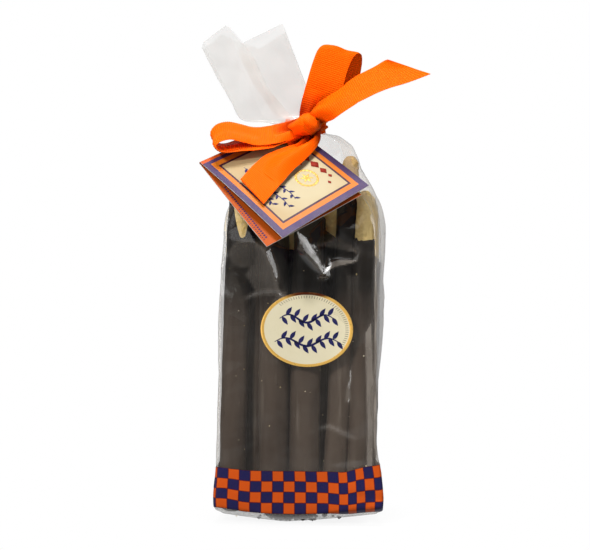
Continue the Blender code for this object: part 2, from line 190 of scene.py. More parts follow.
REAR_STICKS = (
    ((-28.0, -3.0), (-23.5, -1.0), 8.4, 186.0, 200.0, 0.6, (-90.0, 90.0, 6.0)),
    ((-8.5, -1.8), (-3.5, 1.0), 8.6, 172.0, 200.0, -0.4, (-80.0, 90.0, 6.0)),
    ((9.2, -2.0), (8.0, 3.0), 8.2, 186.0, 204.0, 0.6, (-90.0, 90.0, 6.0)),
    ((25.5, -1.0), (22.3, 3.5), 8.2, 178.0, 203.0, 0.0, (-70.0, 90.0, 5.0)),
    ((-40.5, 12.0), (-36.0, 9.0), 7.8, 166.0, 192.0, 0.4, (180.0, 90.0, 8.0)),
    ((-21.0, 14.5), (-17.0, 12.5), 8.3, 174.0, 196.0, -0.6, (90.0, 90.0, 8.0)),
    ((-3.2, 15.5), (-0.5, 14.0), 8.3, 168.0, 198.0, 0.5, (60.0, 90.0, 8.0)),
    ((13.3, 16.0), (14.0, 13.5), 7.8, 175.0, 197.0, 0.3, (110.0, 90.0, 7.0)),
    ((26.5, 17.0), (27.5, 14.0), 7.2, 164.0, 193.0, -0.3, (80.0, 90.0, 8.0)),
)
FRONT_TURNS, FRONT_ROW = 48, 1.5
REAR_TURNS, REAR_ROW = 32, 2.4
CRUMBS = 620

# ------------------------------------------------------------------ the ribbon
RIBBON_WIDTH = 22.0
RIBBON_THICK = 0.55
RIB_PITCH = 1.3
RIB_STEPS = 4                     # rows of points for each rib
RIB_LIFT = 0.16
RIBBON_COLUMNS = 18
# Ribbon stations: the middle of the ribbon, and the vector from its back edge to its front edge.
LEFT_LOOP = (
    ((3.0, -17.0, 243.0), (3.0, -8.0, -4.0)),
    ((-3.0, -17.5, 239.5), (4.0, -13.0, -7.0)),
    ((-13.0, -24.0, 237.0), (4.0, -19.0, -10.0)),
    ((-23.0, -30.0, 236.0), (4.0, -19.0, -10.0)),
    ((-31.0, -36.0, 238.0), (4.0, -19.0, -10.0)),
    ((-38.0, -40.5, 239.5), (4.5, -19.0, -10.0)),
    ((-44.0, -44.0, 238.0), (4.5, -19.0, -9.5)),
    ((-46.5, -46.0, 234.5), (5.0, -19.5, -7.5)),
    ((-44.0, -46.0, 230.5), (5.0, -20.0, -6.0)),
    ((-39.0, -42.5, 229.5), (5.0, -20.0, -5.5)),
    ((-30.0, -37.0, 231.5), (4.5, -20.0, -7.5)),
    ((-22.0, -31.5, 233.0), (4.0, -19.5, -9.5)),
    ((-13.0, -24.0, 234.7), (4.0, -19.0, -10.0)),
    ((-3.0, -18.0, 236.8), (4.0, -12.0, -6.0)),
    ((3.0, -17.5, 238.0), (3.0, -8.0, -3.0)),
)
RIGHT_LOOP = (
    ((6.5, -19.0, 242.0), (7.0, 2.0, -3.0)),
    ((8.5, -18.0, 246.5), (12.0, 3.5, -4.5)),
    ((12.0, -17.0, 252.5), (17.0, 6.0, -6.0)),
    ((15.0, -16.0, 260.0), (19.5, 6.5, -7.0)),
    ((17.5, -14.0, 269.0), (20.0, 6.5, -7.0)),
    ((19.5, -10.5, 277.0), (20.0, 6.5, -6.5)),
    ((22.0, -6.0, 284.5), (20.0, 7.0, -6.0)),
    ((25.0, -1.5, 288.0), (20.0, 7.0, -5.5)),
    ((27.5, 3.5, 287.0), (20.0, 6.5, -6.0)),
    ((27.0, 7.5, 280.0), (20.0, 6.5, -6.0)),
    ((24.5, 8.0, 271.0), (20.0, 6.5, -6.5)),
    ((20.0, 5.0, 261.5), (18.0, 5.5, -7.0)),
    ((14.0, -2.0, 253.5), (14.0, 4.0, -6.0)),
    ((9.5, -10.0, 247.0), (10.0, 3.0, -4.0)),
    ((6.5, -14.5, 243.0), (6.0, 2.0, -3.0)),
)
RIGHT_TAIL = (
    ((5.0, -15.0, 243.0), (5.0, -3.0, -3.0)),
    ((8.8, -18.0, 246.8), (11.5, -6.0, -7.0)),
    ((14.5, -23.0, 250.5), (10.5, -11.0, -10.0)),
    ((21.0, -26.5, 254.0), (9.5, -15.5, -10.5)),
    ((31.0, -27.0, 260.0), (8.0, -17.0, -11.0)),
    ((41.0, -24.0, 266.0), (8.5, -16.5, -12.5)),
    ((51.5, -20.0, 271.0), (9.5, -16.0, -13.0)),
    ((60.0, -17.5, 274.5), (16.0, -16.0, -12.5)),
    ((68.0, -16.0, 277.5), (27.0, -14.5, -8.5)),
)
FRONT_TAIL = (
    ((13.5, -12.4, 238.5), (1.5, -2.0, -2.5)),
    ((12.4, -17.0, 235.2), (4.0, -3.0, -1.5)),
    ((9.8, -22.0, 232.4), (7.1, -3.5, -2.8)),
    ((6.5, -26.5, 230.3), (9.8, -4.2, -4.6)),
    ((-0.6, -34.5, 226.2), (14.8, -5.5, -6.8)),
    ((-7.5, -42.0, 221.5), (17.5, -6.0, -8.5)),
    ((-14.5, -53.0, 213.0), (16.5, -8.5, -12.0)),
    ((-21.0, -64.0, 204.5), (15.0, -9.5, -14.0)),
)
TUCK = (
    ((6.6, -13.5, 242.0), (12.0, 0.0, 3.0)),
    ((6.9, -15.5, 238.5), (13.5, -0.5, 2.5)),
    ((6.2, -17.8, 235.0), (14.0, -1.5, 0.5)),
    ((4.0, -20.5, 231.5), (13.5, -3.0, -2.5)),
    ((0.5, -25.0, 228.6), (12.0, -4.0, -5.0)),
)
STRAND = (
    ((15.2, 6.0, 241.6), (0.0, 0.0, -7.0)),
    ((15.2, 1.5, 241.5), (0.0, 0.0, -7.5)),
    ((14.6, -4.0, 241.2), (0.5, 0.0, -8.5)),
    ((13.0, -10.0, 241.0), (0.5, 0.0, -8.0)),
    ((9.5, -15.5, 241.0), (0.5, 0.0, -6.0)),
)
THROAT = (
    (0.0, -1.0, 239.0), (-0.5, -3.2, 237.0), (-3.0, -5.0, 234.8), (-6.5, -7.0, 233.8),
    (-8.0, -8.1, 234.9), (-7.3, -9.9, 237.2), (-6.8, -11.2, 238.9), (-3.0, -14.5, 241.0),
    (2.0, -17.0, 241.0),
)
KNOT_CENTRE = Vector((5.4, -19.5, 242.1))
KNOT_RUN = Vector((0.91, 0.0, 0.40))      # the way the knot's band runs across its front
KNOT_HALF = (5.1, 9.6)                    # up and down, and in depth
TURN_RUN = Vector((0.62, 0.0, 0.78))
TURN_BREADTH = 9.5
KNOT_BREADTH = 17.5
WRAP_HEIGHT = 8.0

# ------------------------------------------------------------------ the card
CARD_THICK = 0.45
CARD_FOLD_GAP = 1.4
CARD_STEPS = 40
CARD_TOP = Vector((-8.0, -3.0, 243.0))
CARD_LEFT = Vector((-53.0, -54.0, 221.0))
CARD_RIGHT = Vector((45.5, -35.0, 207.0))
CARD_BOTTOM = Vector((-1.0, -80.0, 178.5))
CARD_BACK_RIGHT = Vector((41.3, -39.0, 201.5))
CARD_BACK_BOTTOM = Vector((-10.0, -82.0, 173.5))
CARD_HOLE_IN = 9.0
CARD_HOLE_RADIUS = 2.6
CARD_SIDE = 71.5

# ------------------------------------------------------------------ the label
LABEL_THICK = 0.3
LABEL_RIM = 0.075                 # the gilt rim's share of the label's half size
LABEL_TURNS = 144

# ------------------------------------------------------------------ colours, linear
ORANGE_CLOTH = (0.98, 0.102, 0.001)
ORANGE_INK = (0.64, 0.090, 0.010)
NAVY_INK = (0.013, 0.017, 0.080)
RED_INK = (0.20, 0.014, 0.006)
CARD_NAVY = (0.034, 0.030, 0.096)
CARD_ORANGE = (0.54, 0.150, 0.012)
CARD_LINE = (0.026, 0.012, 0.030)
OVERPRINT = (0.070, 0.010, 0.012)
CREAM = (0.42, 0.350, 0.213)
LABEL_CREAM = (0.80, 0.72, 0.49)
PAPER = (0.60, 0.58, 0.55)
GILT = (0.95, 0.56, 0.13)
# the middle of the card's panel, clear of its painted edge shade
CARD_UNSHADED_SPOT = (0.42, 0.62, 0.0)
# the painted dark reflection along the top of the label's rim
RIM_TOP_REFLECTION = (0.13, 0.030, 0.010)
CHOCOLATE = (0.040, 0.026, 0.018)
# the coats' colour in the painted shade under the card
SHADED_CHOCOLATE = (0.010, 0.0075, 0.0055)
DRY_CRUMB = (0.74, 0.68, 0.56)
# the painted shade on the tall stick's bare end
BREAD_END_SHADE = (0.34, 0.21, 0.075)
BLOOM = (0.120, 0.090, 0.068)
CRUST = (0.76, 0.53, 0.19)
CRUMB = (0.88, 0.68, 0.31)


# ------------------------------------------------------------------ curves and numbers
def eased(low, high, value):
    """0 on low's side, 1 on high's side, and a soft step between them."""
    share = min(max((value - low) / (high - low), 0.0), 1.0)
    return share * share * (3.0 - 2.0 * share)


def mix(a, b, share):
    return a + (b - a) * share


def at_key(rows, key):
    """The numbers at key on smooth curves through rows, each of them (key, number, ...)."""
    i = 0
    while i < len(rows) - 2 and rows[i + 1][0] <= key:
        i += 1
    here, there = rows[i], rows[i + 1]
    before, after = rows[max(i - 1, 0)], rows[min(i + 2, len(rows) - 1)]
    span = there[0] - here[0]
    t = min(max((key - here[0]) / span, 0.0), 1.0)
    found = []
    for p, q, r, s in list(zip(before, here, there, after))[1:]:
        rise = (r - p) / (there[0] - before[0]) * span
        leave = (s - q) / (after[0] - here[0]) * span
        found.append(q * (1 + 2 * t) * (1 - t) ** 2 + rise * t * (1 - t) ** 2
                     + r * t * t * (3 - 2 * t) + leave * t * t * (t - 1))
    return found


def smooth_path(points, steps):
    """Points on a Catmull-Rom curve through the given points."""
    ends = [points[0] * 2 - points[1]] + list(points) + [points[-1] * 2 - points[-2]]
    path = []
    for k in range(1, len(ends) - 2):
        a, b, c, d = ends[k - 1:k + 3]
        for s in range(steps):
            t = s / steps
            path.append(0.5 * (2 * b + (c - a) * t + (2 * a - 5 * b + 4 * c - d) * t ** 2
                               + (3 * b - a - 3 * c + d) * t ** 3))
    return path + [points[-1]]


def even_rows(middles, widths, pitch):
    """The same strip with its rows pitch apart along its middle."""
    walked = [0.0]
    for a, b in zip(middles, middles[1:]):
        walked.append(walked[-1] + (b - a).length)
    rows, k = [], 0
    for i in range(int(walked[-1] / pitch) + 1):
        target = i * pitch
        while k < len(walked) - 2 and walked[k + 1] < target:
            k += 1
        share = (target - walked[k]) / (walked[k + 1] - walked[k])
        rows.append((mix(middles[k], middles[k + 1], share), mix(widths[k], widths[k + 1], share)))
    return rows


# ------------------------------------------------------------------ pieces
def piece(name, points, faces, finishes, node, sharp=None, marks=None, print_map=None):
    """A mesh piece, from points in millimetres, that rides on the part and stands for node.

    marks gives each face's finish by number, and print_map each point's place on the print.
    """
    mesh = bpy.data.meshes.new(name)
    mesh.from_pydata([point * MM for point in points], [], faces)
    if print_map:
        layer = mesh.uv_layers.new(name="print")
        for loop in mesh.loops:
            layer.data[loop.index].uv = print_map[loop.vertex_index]
    for finish in finishes:
        mesh.materials.append(finish)
    if marks:
        mesh.polygons.foreach_set("material_index", marks)
    mesh.shade_smooth()
    if sharp:
        mesh.set_sharp_from_angle(angle=math.radians(sharp))
    mesh.update()
    obj = bpy.data.objects.new(name, mesh)
    bpy.context.collection.objects.link(obj)
    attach(obj, "root")
    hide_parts(node)
    return obj


def skin(rings, closed=True, first=0):
    """Faces between rings of equal length that are stored one after another."""
    faces, count = [], len(rings[0])
    for r in range(len(rings) - 1):
        low, high = first + r * count, first + (r + 1) * count
        for i in range(count if closed else count - 1):
            j = (i + 1) % count
            faces.append((low + i, low + j, high + j, high + i))
    return faces


def flat(rings):
    return [point for ring in rings for point in ring]


class Heap:
    """Many closed shapes gathered into one mesh."""

    def __init__(self):
        self.points, self.faces = [], []

    def add_tube(self, rings):
        """Rings of points with a pole closing each end."""
        first, count = len(self.points), len(rings[0])
        self.faces += skin(rings, True, first)
        self.points += flat(rings)
        for ring, start, turn in ((rings[0], first, -1), (rings[-1], len(self.points) - count, 1)):
            pole = len(self.points)
            self.points.append(sum(ring, Vector()) / count)
            for i in range(count):
                pair = (start + i, start + (i + 1) % count)
                self.faces.append((*pair[::turn], pole))

    def add_shape(self, points, faces):
        first = len(self.points)
        self.points += points
        self.faces += [tuple(first + i for i in face) for face in faces]


# ------------------------------------------------------------------ node helpers
def put(tree, kind, values=None, **settings):
    """A node of that kind with its settings, and its sockets set by name or number."""
    node = tree.nodes.new(kind)
    for key, value in settings.items():
        setattr(node, key, value)
    for key, value in (values or {}).items():
        if isinstance(value, bpy.types.NodeSocket):
            tree.links.new(value, node.inputs[key])
        else:
            node.inputs[key].default_value = value
    return node


def figure(tree, operation, *values, clamp=False):
    """The result of a Math node on numbers or sockets."""
    return put(tree, "ShaderNodeMath", dict(enumerate(values)),
               operation=operation, use_clamp=clamp).outputs[0]


def tint(tree, share, first, second):
    """A colour between two, each a colour or a socket."""
    values = {0: share}
    for key, colour in ((6, first), (7, second)):
        values[key] = colour if isinstance(colour, bpy.types.NodeSocket) else (*colour, 1.0)
    return put(tree, "ShaderNodeMix", values, data_type="RGBA").outputs[2]


def ramp(tree, value, low, high, from_value=0.0, to_value=1.0):
    return put(tree, "ShaderNodeMapRange", {0: value, 1: low, 2: high, 3: from_value,
                                           4: to_value}).outputs[0]


def new_group(name, inputs, outputs):
    """An empty node group with its named inputs and outputs."""
    tree = bpy.data.node_groups.new(name, "ShaderNodeTree")
    kinds = {"value": "NodeSocketFloat", "colour": "NodeSocketColor", "vector": "NodeSocketVector"}
    for label, kind, standard in inputs:
        socket = tree.interface.new_socket(label, in_out="INPUT", socket_type=kinds[kind])
        if standard is not None:
            socket.default_value = standard
    for label, kind in outputs:
        tree.interface.new_socket(label, in_out="OUTPUT", socket_type=kinds[kind])
    entry = tree.nodes.new("NodeGroupInput")
    leave = tree.nodes.new("NodeGroupOutput")
    return tree, entry.outputs, leave.inputs


def new_material(name):
    made = bpy.data.materials.new(name)
    made.use_nodes = True
    tree = made.node_tree
    shader = tree.nodes["Principled BSDF"]
    return made, tree, shader


def set_sockets(shader, **values):
    for key, value in values.items():
        shader.inputs[key.replace("_", " ")].default_value = value


def place_of(tree):
    return put(tree, "ShaderNodeTexCoord").outputs["Object"]


# ------------------------------------------------------------------ shared effects
def make_grain_group():
    """Fine grain and slow mottling, drawn out along the height by Draw."""
    tree, given, result = new_group(
        "fine grain",
        (("Place", "vector", None), ("Scale", "value", 900.0), ("Draw", "value", 1.0)),
        (("Grain", "value"), ("Mottle", "value")))
    stretch = put(tree, "ShaderNodeCombineXYZ", {0: 1.0, 1: 1.0, 2: given["Draw"]}).outputs[0]
    place = put(tree, "ShaderNodeVectorMath", {0: given["Place"], 1: stretch},
                operation="MULTIPLY").outputs[0]
    fine = put(tree, "ShaderNodeTexNoise",
               {"Vector": place, "Scale": given["Scale"], "Detail": 4.0, "Roughness": 0.6})
    slow_scale = figure(tree, "MULTIPLY", given["Scale"], 0.12)
    slow = put(tree, "ShaderNodeTexNoise",
               {"Vector": place, "Scale": slow_scale, "Detail": 3.0, "Roughness": 0.55})
    tree.links.new(fine.outputs[0], result["Grain"])
    tree.links.new(ramp(tree, slow.outputs[0], 0.3, 0.7), result["Mottle"])
    return tree


def make_ink_group():
    """Ink on stock: slightly starved and mottled where it lies."""
    tree, given, result = new_group(
        "ink on stock",
        (("Place", "vector", None), ("Stock", "colour", (1, 1, 1, 1)),
         ("Ink", "colour", (0, 0, 0, 1)), ("Mask", "value", 0.0), ("Starved", "value", 0.12)),
        (("Color", "colour"), ("Cover", "value")))
    spots = put(tree, "ShaderNodeTexNoise",
                {"Vector": given["Place"], "Scale": 1400.0, "Detail": 3.0, "Roughness": 0.7})
    thin = figure(tree, "MULTIPLY", ramp(tree, spots.outputs[0], 0.35, 0.75), given["Starved"])
    cover = figure(tree, "MULTIPLY", given["Mask"], figure(tree, "SUBTRACT", 1.0, thin))
    tree.links.new(tint(tree, cover, given["Stock"], given["Ink"]), result["Color"])
    tree.links.new(cover, result["Cover"])
    return tree


def make_frame_group():
    """A square frame on a print map that runs from 0 to 1: its inner and outer edge are insets."""
    tree, given, result = new_group(
        "square frame",
        (("Print", "vector", None), ("Side", "value", CARD_SIDE), ("From", "value", 0.0),
         ("To", "value", 4.0)),
        (("Mask", "value"), ("Inside", "value")))
    parts = put(tree, "ShaderNodeSeparateXYZ", {0: given["Print"]}).outputs
    gaps = []
    for part in (parts[0], parts[1]):
        centred = figure(tree, "ABSOLUTE", figure(tree, "SUBTRACT", part, 0.5))
        gaps.append(figure(tree, "SUBTRACT", 0.5, centred))
    inset = figure(tree, "MULTIPLY", figure(tree, "MINIMUM", *gaps), given["Side"])
    inside = figure(tree, "GREATER_THAN", inset, given["To"])
    outer = figure(tree, "GREATER_THAN", inset, given["From"])
    tree.links.new(figure(tree, "SUBTRACT", outer, inside), result["Mask"])
    tree.links.new(inside, result["Inside"])
    return tree


def make_crinkle_group():
    """Small sharp crinkles of crisp film, as a height and as a share that scatters."""
    tree, given, result = new_group(
        "film crinkle",
        (("Place", "vector", None), ("Scale", "value", 90.0)),
        (("Height", "value"), ("Worn", "value")))
    bent = put(tree, "ShaderNodeTexNoise",
               {"Vector": given["Place"], "Scale": 60.0, "Detail": 2.0})
    place = put(tree, "ShaderNodeVectorMath",
                {0: bent.outputs["Color"], 1: (0.006, 0.006, 0.006), 2: given["Place"]},
                operation="MULTIPLY_ADD").outputs[0]
    cells = put(tree, "ShaderNodeTexVoronoi", {"Vector": place, "Scale": given["Scale"]})
    edges = put(tree, "ShaderNodeTexVoronoi", {"Vector": place, "Scale": given["Scale"]},
                feature="DISTANCE_TO_EDGE")
    tree.links.new(cells.outputs["Distance"], result["Height"])
    tree.links.new(ramp(tree, edges.outputs["Distance"], 0.0, 0.06, 1.0, 0.0), result["Worn"])
    return tree


def build_groups():
    return {"grain": make_grain_group(), "ink": make_ink_group(), "frame": make_frame_group(),
            "crinkle": make_crinkle_group()}


def effect(tree, name, values):
    node = put(tree, "ShaderNodeGroup", node_tree=GROUPS[name])
    for key, value in values.items():
        if isinstance(value, bpy.types.NodeSocket):
            tree.links.new(value, node.inputs[key])
        else:
            node.inputs[key].default_value = value
    return node.outputs


def bump(tree, shader, height, distance, strength=1.0):
    node = put(tree, "ShaderNodeBump", {"Height": height, "Distance": distance,
                                        "Strength": strength})
    tree.links.new(node.outputs[0], shader.inputs["Normal"])
    return node.outputs[0]


# ------------------------------------------------------------------ materials
def film_material(name, haze, crinkle, roughness=0.05, folded=False, gleam=0.07, warm=0.89):
    """Clear film: it mirrors a little face on and much at a slant, and scatters by haze."""
    made, tree, old = new_material(name)
    tree.nodes.remove(old)
    place = place_of(tree)
    marks = effect(tree, "crinkle", {"Place": place, "Scale": 85.0})
    normal = put(tree, "ShaderNodeBump", {"Height": marks["Height"], "Distance": crinkle}).outputs[0]
    if folded:
        marked = put(tree, "ShaderNodeUVMap", uv_map="print").outputs[0]
        marked = put(tree, "ShaderNodeSeparateXYZ", {0: marked}).outputs
        haze = figure(tree, "ADD", marked[0], haze)
        gleam = figure(tree, "ADD", marked[1], gleam)
    slant = put(tree, "ShaderNodeLayerWeight", {"Blend": 0.5, "Normal": normal}).outputs["Facing"]
    mirror = figure(tree, "MULTIPLY_ADD", figure(tree, "POWER", slant, 4.0), 0.80, gleam)
    shade = put(tree, "ShaderNodeLightPath").outputs["Is Shadow Ray"]
    mirror = figure(tree, "MULTIPLY", mirror, figure(tree, "MULTIPLY_ADD", shade, -0.8, 1.0))
    clear = put(tree, "ShaderNodeBsdfTransparent", {"Color": (0.99, 0.99, 0.985, 1.0)})
    gloss = put(tree, "ShaderNodeBsdfGlossy", {"Color": (1.0, 1.0, 1.0, 1.0),
                                               "Roughness": roughness, "Normal": normal})
    milk = put(tree, "ShaderNodeBsdfDiffuse", {"Color": (0.96, 0.48 + 0.5 * warm, warm, 1.0)})
    glow = put(tree, "ShaderNodeBsdfTranslucent", {"Color": (0.96, 0.94, 0.91, 1.0)})
    scatter = put(tree, "ShaderNodeMixShader", {0: 0.5, 1: milk.outputs[0], 2: glow.outputs[0]})
    skin_mix = put(tree, "ShaderNodeMixShader", {0: mirror, 1: clear.outputs[0],
                                                 2: gloss.outputs[0]})
    whole = put(tree, "ShaderNodeMixShader", {0: haze, 1: skin_mix.outputs[0],
                                              2: scatter.outputs[0]})
    tree.links.new(whole.outputs[0], tree.nodes["Material Output"].inputs["Surface"])
    return made


def check_material():
    """Two inks printed in squares on the film, with a dark line where they overlap."""
    made, tree, shader = new_material("printed check")
    spot = put(tree, "ShaderNodeUVMap", uv_map="print").outputs[0]
    square = put(tree, "ShaderNodeTexChecker", {"Vector": spot, "Scale": 1.0}).outputs["Fac"]
    parts = put(tree, "ShaderNodeSeparateXYZ", {0: spot}).outputs
    lines = []
    for part in (parts[0], parts[1]):
        centred = figure(tree, "SUBTRACT", figure(tree, "FRACT", part), 0.5)
        lines.append(figure(tree, "ABSOLUTE", centred))
    overlap = figure(tree, "GREATER_THAN", figure(tree, "MAXIMUM", *lines), 0.460)
    place = place_of(tree)
    inked = effect(tree, "ink", {"Place": place, "Stock": (*ORANGE_INK, 1.0),
                                 "Ink": (*NAVY_INK, 1.0), "Mask": square, "Starved": 0.03})
    colour = tint(tree, figure(tree, "MULTIPLY", overlap, 0.85), inked["Color"], OVERPRINT)
    tree.links.new(colour, shader.inputs["Base Color"])
    grain = effect(tree, "grain", {"Place": place, "Scale": 300.0})
    tree.links.new(ramp(tree, grain["Mottle"], 0.0, 1.0, 0.28, 0.42), shader.inputs["Roughness"])
    set_sockets(shader, Specular_IOR_Level=0.08)
    bump(tree, shader, grain["Mottle"], 0.0001)
    return made


def chocolate_material():
    made, tree, shader = new_material("dark chocolate")
    place = place_of(tree)
    long_marks = effect(tree, "grain", {"Place": place, "Scale": 420.0, "Draw": 0.16})
    fine = effect(tree, "grain", {"Place": place, "Scale": 700.0, "Draw": 0.5})
    height = put(tree, "ShaderNodeSeparateXYZ", {0: place}).outputs[2]
    # Painted shade: above the label the coats turn darker, with almost no bloom and no pale streaks, standing
    # in for the card's shadow.
    upper = ramp(tree, height, 0.105, 0.145)
    bloom = figure(tree, "MULTIPLY", long_marks["Mottle"], ramp(tree, upper, 0.0, 1.0, 0.60, 0.02))
    colour = tint(tree, bloom, tint(tree, upper, CHOCOLATE, SHADED_CHOCOLATE), BLOOM)
    streaks = put(tree, "ShaderNodeVectorMath", {0: place, 1: (1.0, 1.0, 0.07)},
                  operation="MULTIPLY").outputs[0]
    streaks = put(tree, "ShaderNodeTexNoise", {"Vector": streaks, "Scale": 170.0, "Detail": 3.0})
    streaks = ramp(tree, streaks.outputs[0], 0.56, 0.76, 0.0, 0.55)
    streaks = figure(tree, "MULTIPLY", streaks, figure(tree, "SUBTRACT", 1.0, upper))
    colour = tint(tree, streaks, colour, (0.21, 0.175, 0.14))
    spots = put(tree, "ShaderNodeTexVoronoi", {"Vector": place, "Scale": 130.0})
    near = figure(tree, "LESS_THAN", spots.outputs["Distance"], 0.085)
    some = figure(tree, "GREATER_THAN", put(tree, "ShaderNodeSeparateColor",
                                            {0: spots.outputs["Color"]}).outputs[0], 0.72)
    colour = tint(tree, figure(tree, "MULTIPLY", figure(tree, "MULTIPLY", near, some), 0.3),
                  colour, CRUMB)
    tree.links.new(colour, shader.inputs["Base Color"])
    tree.links.new(ramp(tree, fine["Mottle"], 0.0, 1.0, 0.42, 0.60), shader.inputs["Roughness"])
    set_sockets(shader, Specular_IOR_Level=0.12)
    height = figure(tree, "ADD", figure(tree, "MULTIPLY", long_marks["Grain"], 0.6),
                    figure(tree, "MULTIPLY", fine["Grain"], 0.4))
    bump(tree, shader, height, 0.0003)
    return made


def bread_material():
    made, tree, shader = new_material("baked crust")
    place = place_of(tree)
    marks = effect(tree, "grain", {"Place": place, "Scale": 700.0, "Draw": 0.7})
    wide = effect(tree, "grain", {"Place": place, "Scale": 900.0, "Draw": 0.35})
    colour = tint(tree, wide["Mottle"], CRUST, CRUMB)
    pits = put(tree, "ShaderNodeTexVoronoi", {"Vector": place, "Scale": 520.0})
    height = put(tree, "ShaderNodeSeparateXYZ", {0: place}).outputs[2]
    # Painted shade: the bread darkens towards brown above 206 mm, at the tall stick's end.
    colour = tint(tree, ramp(tree, height, 0.206, 0.213, 0.0, 0.8), colour, BREAD_END_SHADE)
    dark = ramp(tree, pits.outputs["Distance"], 0.05, 0.30, 0.25, 0.0)
    colour = tint(tree, dark, colour, (0.25, 0.12, 0.035))
    tree.links.new(colour, shader.inputs["Base Color"])
    set_sockets(shader, Roughness=0.78, Specular_IOR_Level=0.25)
    bump(tree, shader, figure(tree, "ADD", marks["Grain"], pits.outputs["Distance"]), 0.0004)
    return made


def ribbon_material():
    made, tree, shader = new_material("orange ribbon")
    place = place_of(tree)
    threads = put(tree, "ShaderNodeTexNoise", {"Vector": place, "Scale": 2600.0, "Detail": 2.0})
    marks = effect(tree, "grain", {"Place": place, "Scale": 160.0})
    colour = tint(tree, ramp(tree, marks["Mottle"], 0.0, 1.0, 0.0, 0.35),
                  ORANGE_CLOTH, (1.0, 0.118, 0.002))
    colour = tint(tree, ramp(tree, threads.outputs[0], 0.55, 0.8, 0.0, 0.05),
                  colour, (0.80, 0.08, 0.002))
    along = put(tree, "ShaderNodeUVMap", uv_map="print").outputs[0]
    along = put(tree, "ShaderNodeSeparateXYZ", {0: along}).outputs[1]
    # Painted shade: the ribbon is darkened in the valleys between its ribs.
    valley = figure(tree, "COSINE", figure(tree, "MULTIPLY", along, 2.0 * math.pi))
    valley = ramp(tree, valley, 0.3, -1.0, 0.0, 0.40)
    colour = tint(tree, valley, colour, (0.62, 0.030, 0.001))
    # Painted shade: the ribbon turns deep red within 22 mm of the knot's centre and behind the knot's front.
    knot = tuple(KNOT_CENTRE * MM)
    gap = put(tree, "ShaderNodeVectorMath", {0: place, 1: knot}, operation="DISTANCE")
    tucked = ramp(tree, gap.outputs["Value"], 0.022, 0.010)
    deep = ramp(tree, put(tree, "ShaderNodeSeparateXYZ", {0: place}).outputs[1], -0.0245, -0.0195)
    colour = tint(tree, figure(tree, "MULTIPLY", tucked, deep), colour, (0.34, 0.014, 0.001))
    tree.links.new(colour, shader.inputs["Base Color"])
    set_sockets(shader, Roughness=0.5, Specular_IOR_Level=0.12,
                Specular_Tint=(1.0, 0.55, 0.03, 1.0), Sheen_Weight=0.45, Sheen_Roughness=0.45,
                Sheen_Tint=(1.0, 0.50, 0.01, 1.0))
    bump(tree, shader, threads.outputs[0], 0.000012)
    return made


def card_face_material():
    """The card's printed outside: two frames and a dark line round a cream panel."""
    made, tree, shader = new_material("card print")
    spot = put(tree, "ShaderNodeUVMap", uv_map="print").outputs[0]
    place = place_of(tree)
    colour = (*ORANGE_INK, 1.0)
    steps = ((0.0, 4.3, CARD_NAVY), (4.3, 7.6, CARD_ORANGE), (7.6, 9.0, CARD_LINE))
    cover = None
    for low, high, ink in steps:
        mask = effect(tree, "frame", {"Print": spot, "From": low, "To": high})
        inked = effect(tree, "ink", {"Place": place, "Stock": colour, "Ink": (*ink, 1.0),
                                     "Mask": mask["Mask"], "Starved": 0.10})
        colour, cover = inked["Color"], mask["Inside"]
    panel = effect(tree, "grain", {"Place": place, "Scale": 160.0})
    cream = tint(tree, panel["Mottle"], CREAM, (0.44, 0.367, 0.222))
    # Painted shade and orange bounce light: the cream darkens to tan away from a pale spot, towards the
    # panel's edges.
    middle = put(tree, "ShaderNodeVectorMath", {0: spot, 1: CARD_UNSHADED_SPOT}, operation="DISTANCE")
    warm = ramp(tree, middle.outputs["Value"], 0.20, 0.46, 0.0, 0.55)
    cream = tint(tree, warm, cream, (0.36, 0.225, 0.085))
    colour = tint(tree, cover, colour, cream)
    margin = figure(tree, "LESS_THAN", put(tree, "ShaderNodeSeparateXYZ",
                                           {0: spot}).outputs[1], 1.9 / CARD_SIDE)
    colour = tint(tree, margin, colour, (0.50, 0.075, 0.008))
    tree.links.new(colour, shader.inputs["Base Color"])
    fine = effect(tree, "grain", {"Place": place, "Scale": 1100.0})
    tree.links.new(ramp(tree, fine["Mottle"], 0.0, 1.0, 0.34, 0.48), shader.inputs["Roughness"])
    set_sockets(shader, Specular_IOR_Level=0.2)
    bump(tree, shader, fine["Grain"], 0.00005)
    return made


def plain_material(name, colour, other, roughness, grain=1100.0, relief=0.0001, metallic=0.0):
    """A plain finish with a little mottling, for paper, ink and gilt."""
    made, tree, shader = new_material(name)
    marks = effect(tree, "grain", {"Place": place_of(tree), "Scale": grain})
    tree.links.new(tint(tree, marks["Mottle"], colour, other), shader.inputs["Base Color"])
    tree.links.new(ramp(tree, marks["Grain"], 0.3, 0.7, roughness - 0.05, roughness + 0.08),
                   shader.inputs["Roughness"])
    set_sockets(shader, Metallic=metallic, Specular_IOR_Level=0.2)
    bump(tree, shader, marks["Grain"], relief)
    return made


def rim_material():
    """Gilt with a painted dark copper reflection along the label's upper edge."""
    made, tree, shader = new_material("label gilt")
    place = place_of(tree)
    # Painted reflection: the rim turns dark copper along its top.
    high = ramp(tree, put(tree, "ShaderNodeSeparateXYZ", {0: place}).outputs[2], 0.1385, 0.1405)
    marks = effect(tree, "grain", {"Place": place, "Scale": 700.0})
    share = figure(tree, "MULTIPLY", high, ramp(tree, marks["Mottle"], 0.0, 0.6, 0.6, 1.0))
    tree.links.new(tint(tree, share, GILT, RIM_TOP_REFLECTION), shader.inputs["Base Color"])
    tree.links.new(ramp(tree, marks["Grain"], 0.3, 0.7, 0.25, 0.38), shader.inputs["Roughness"])
    set_sockets(shader, Metallic=0.35, Specular_IOR_Level=0.2)
    bump(tree, shader, marks["Grain"], 0.00003)
    return made


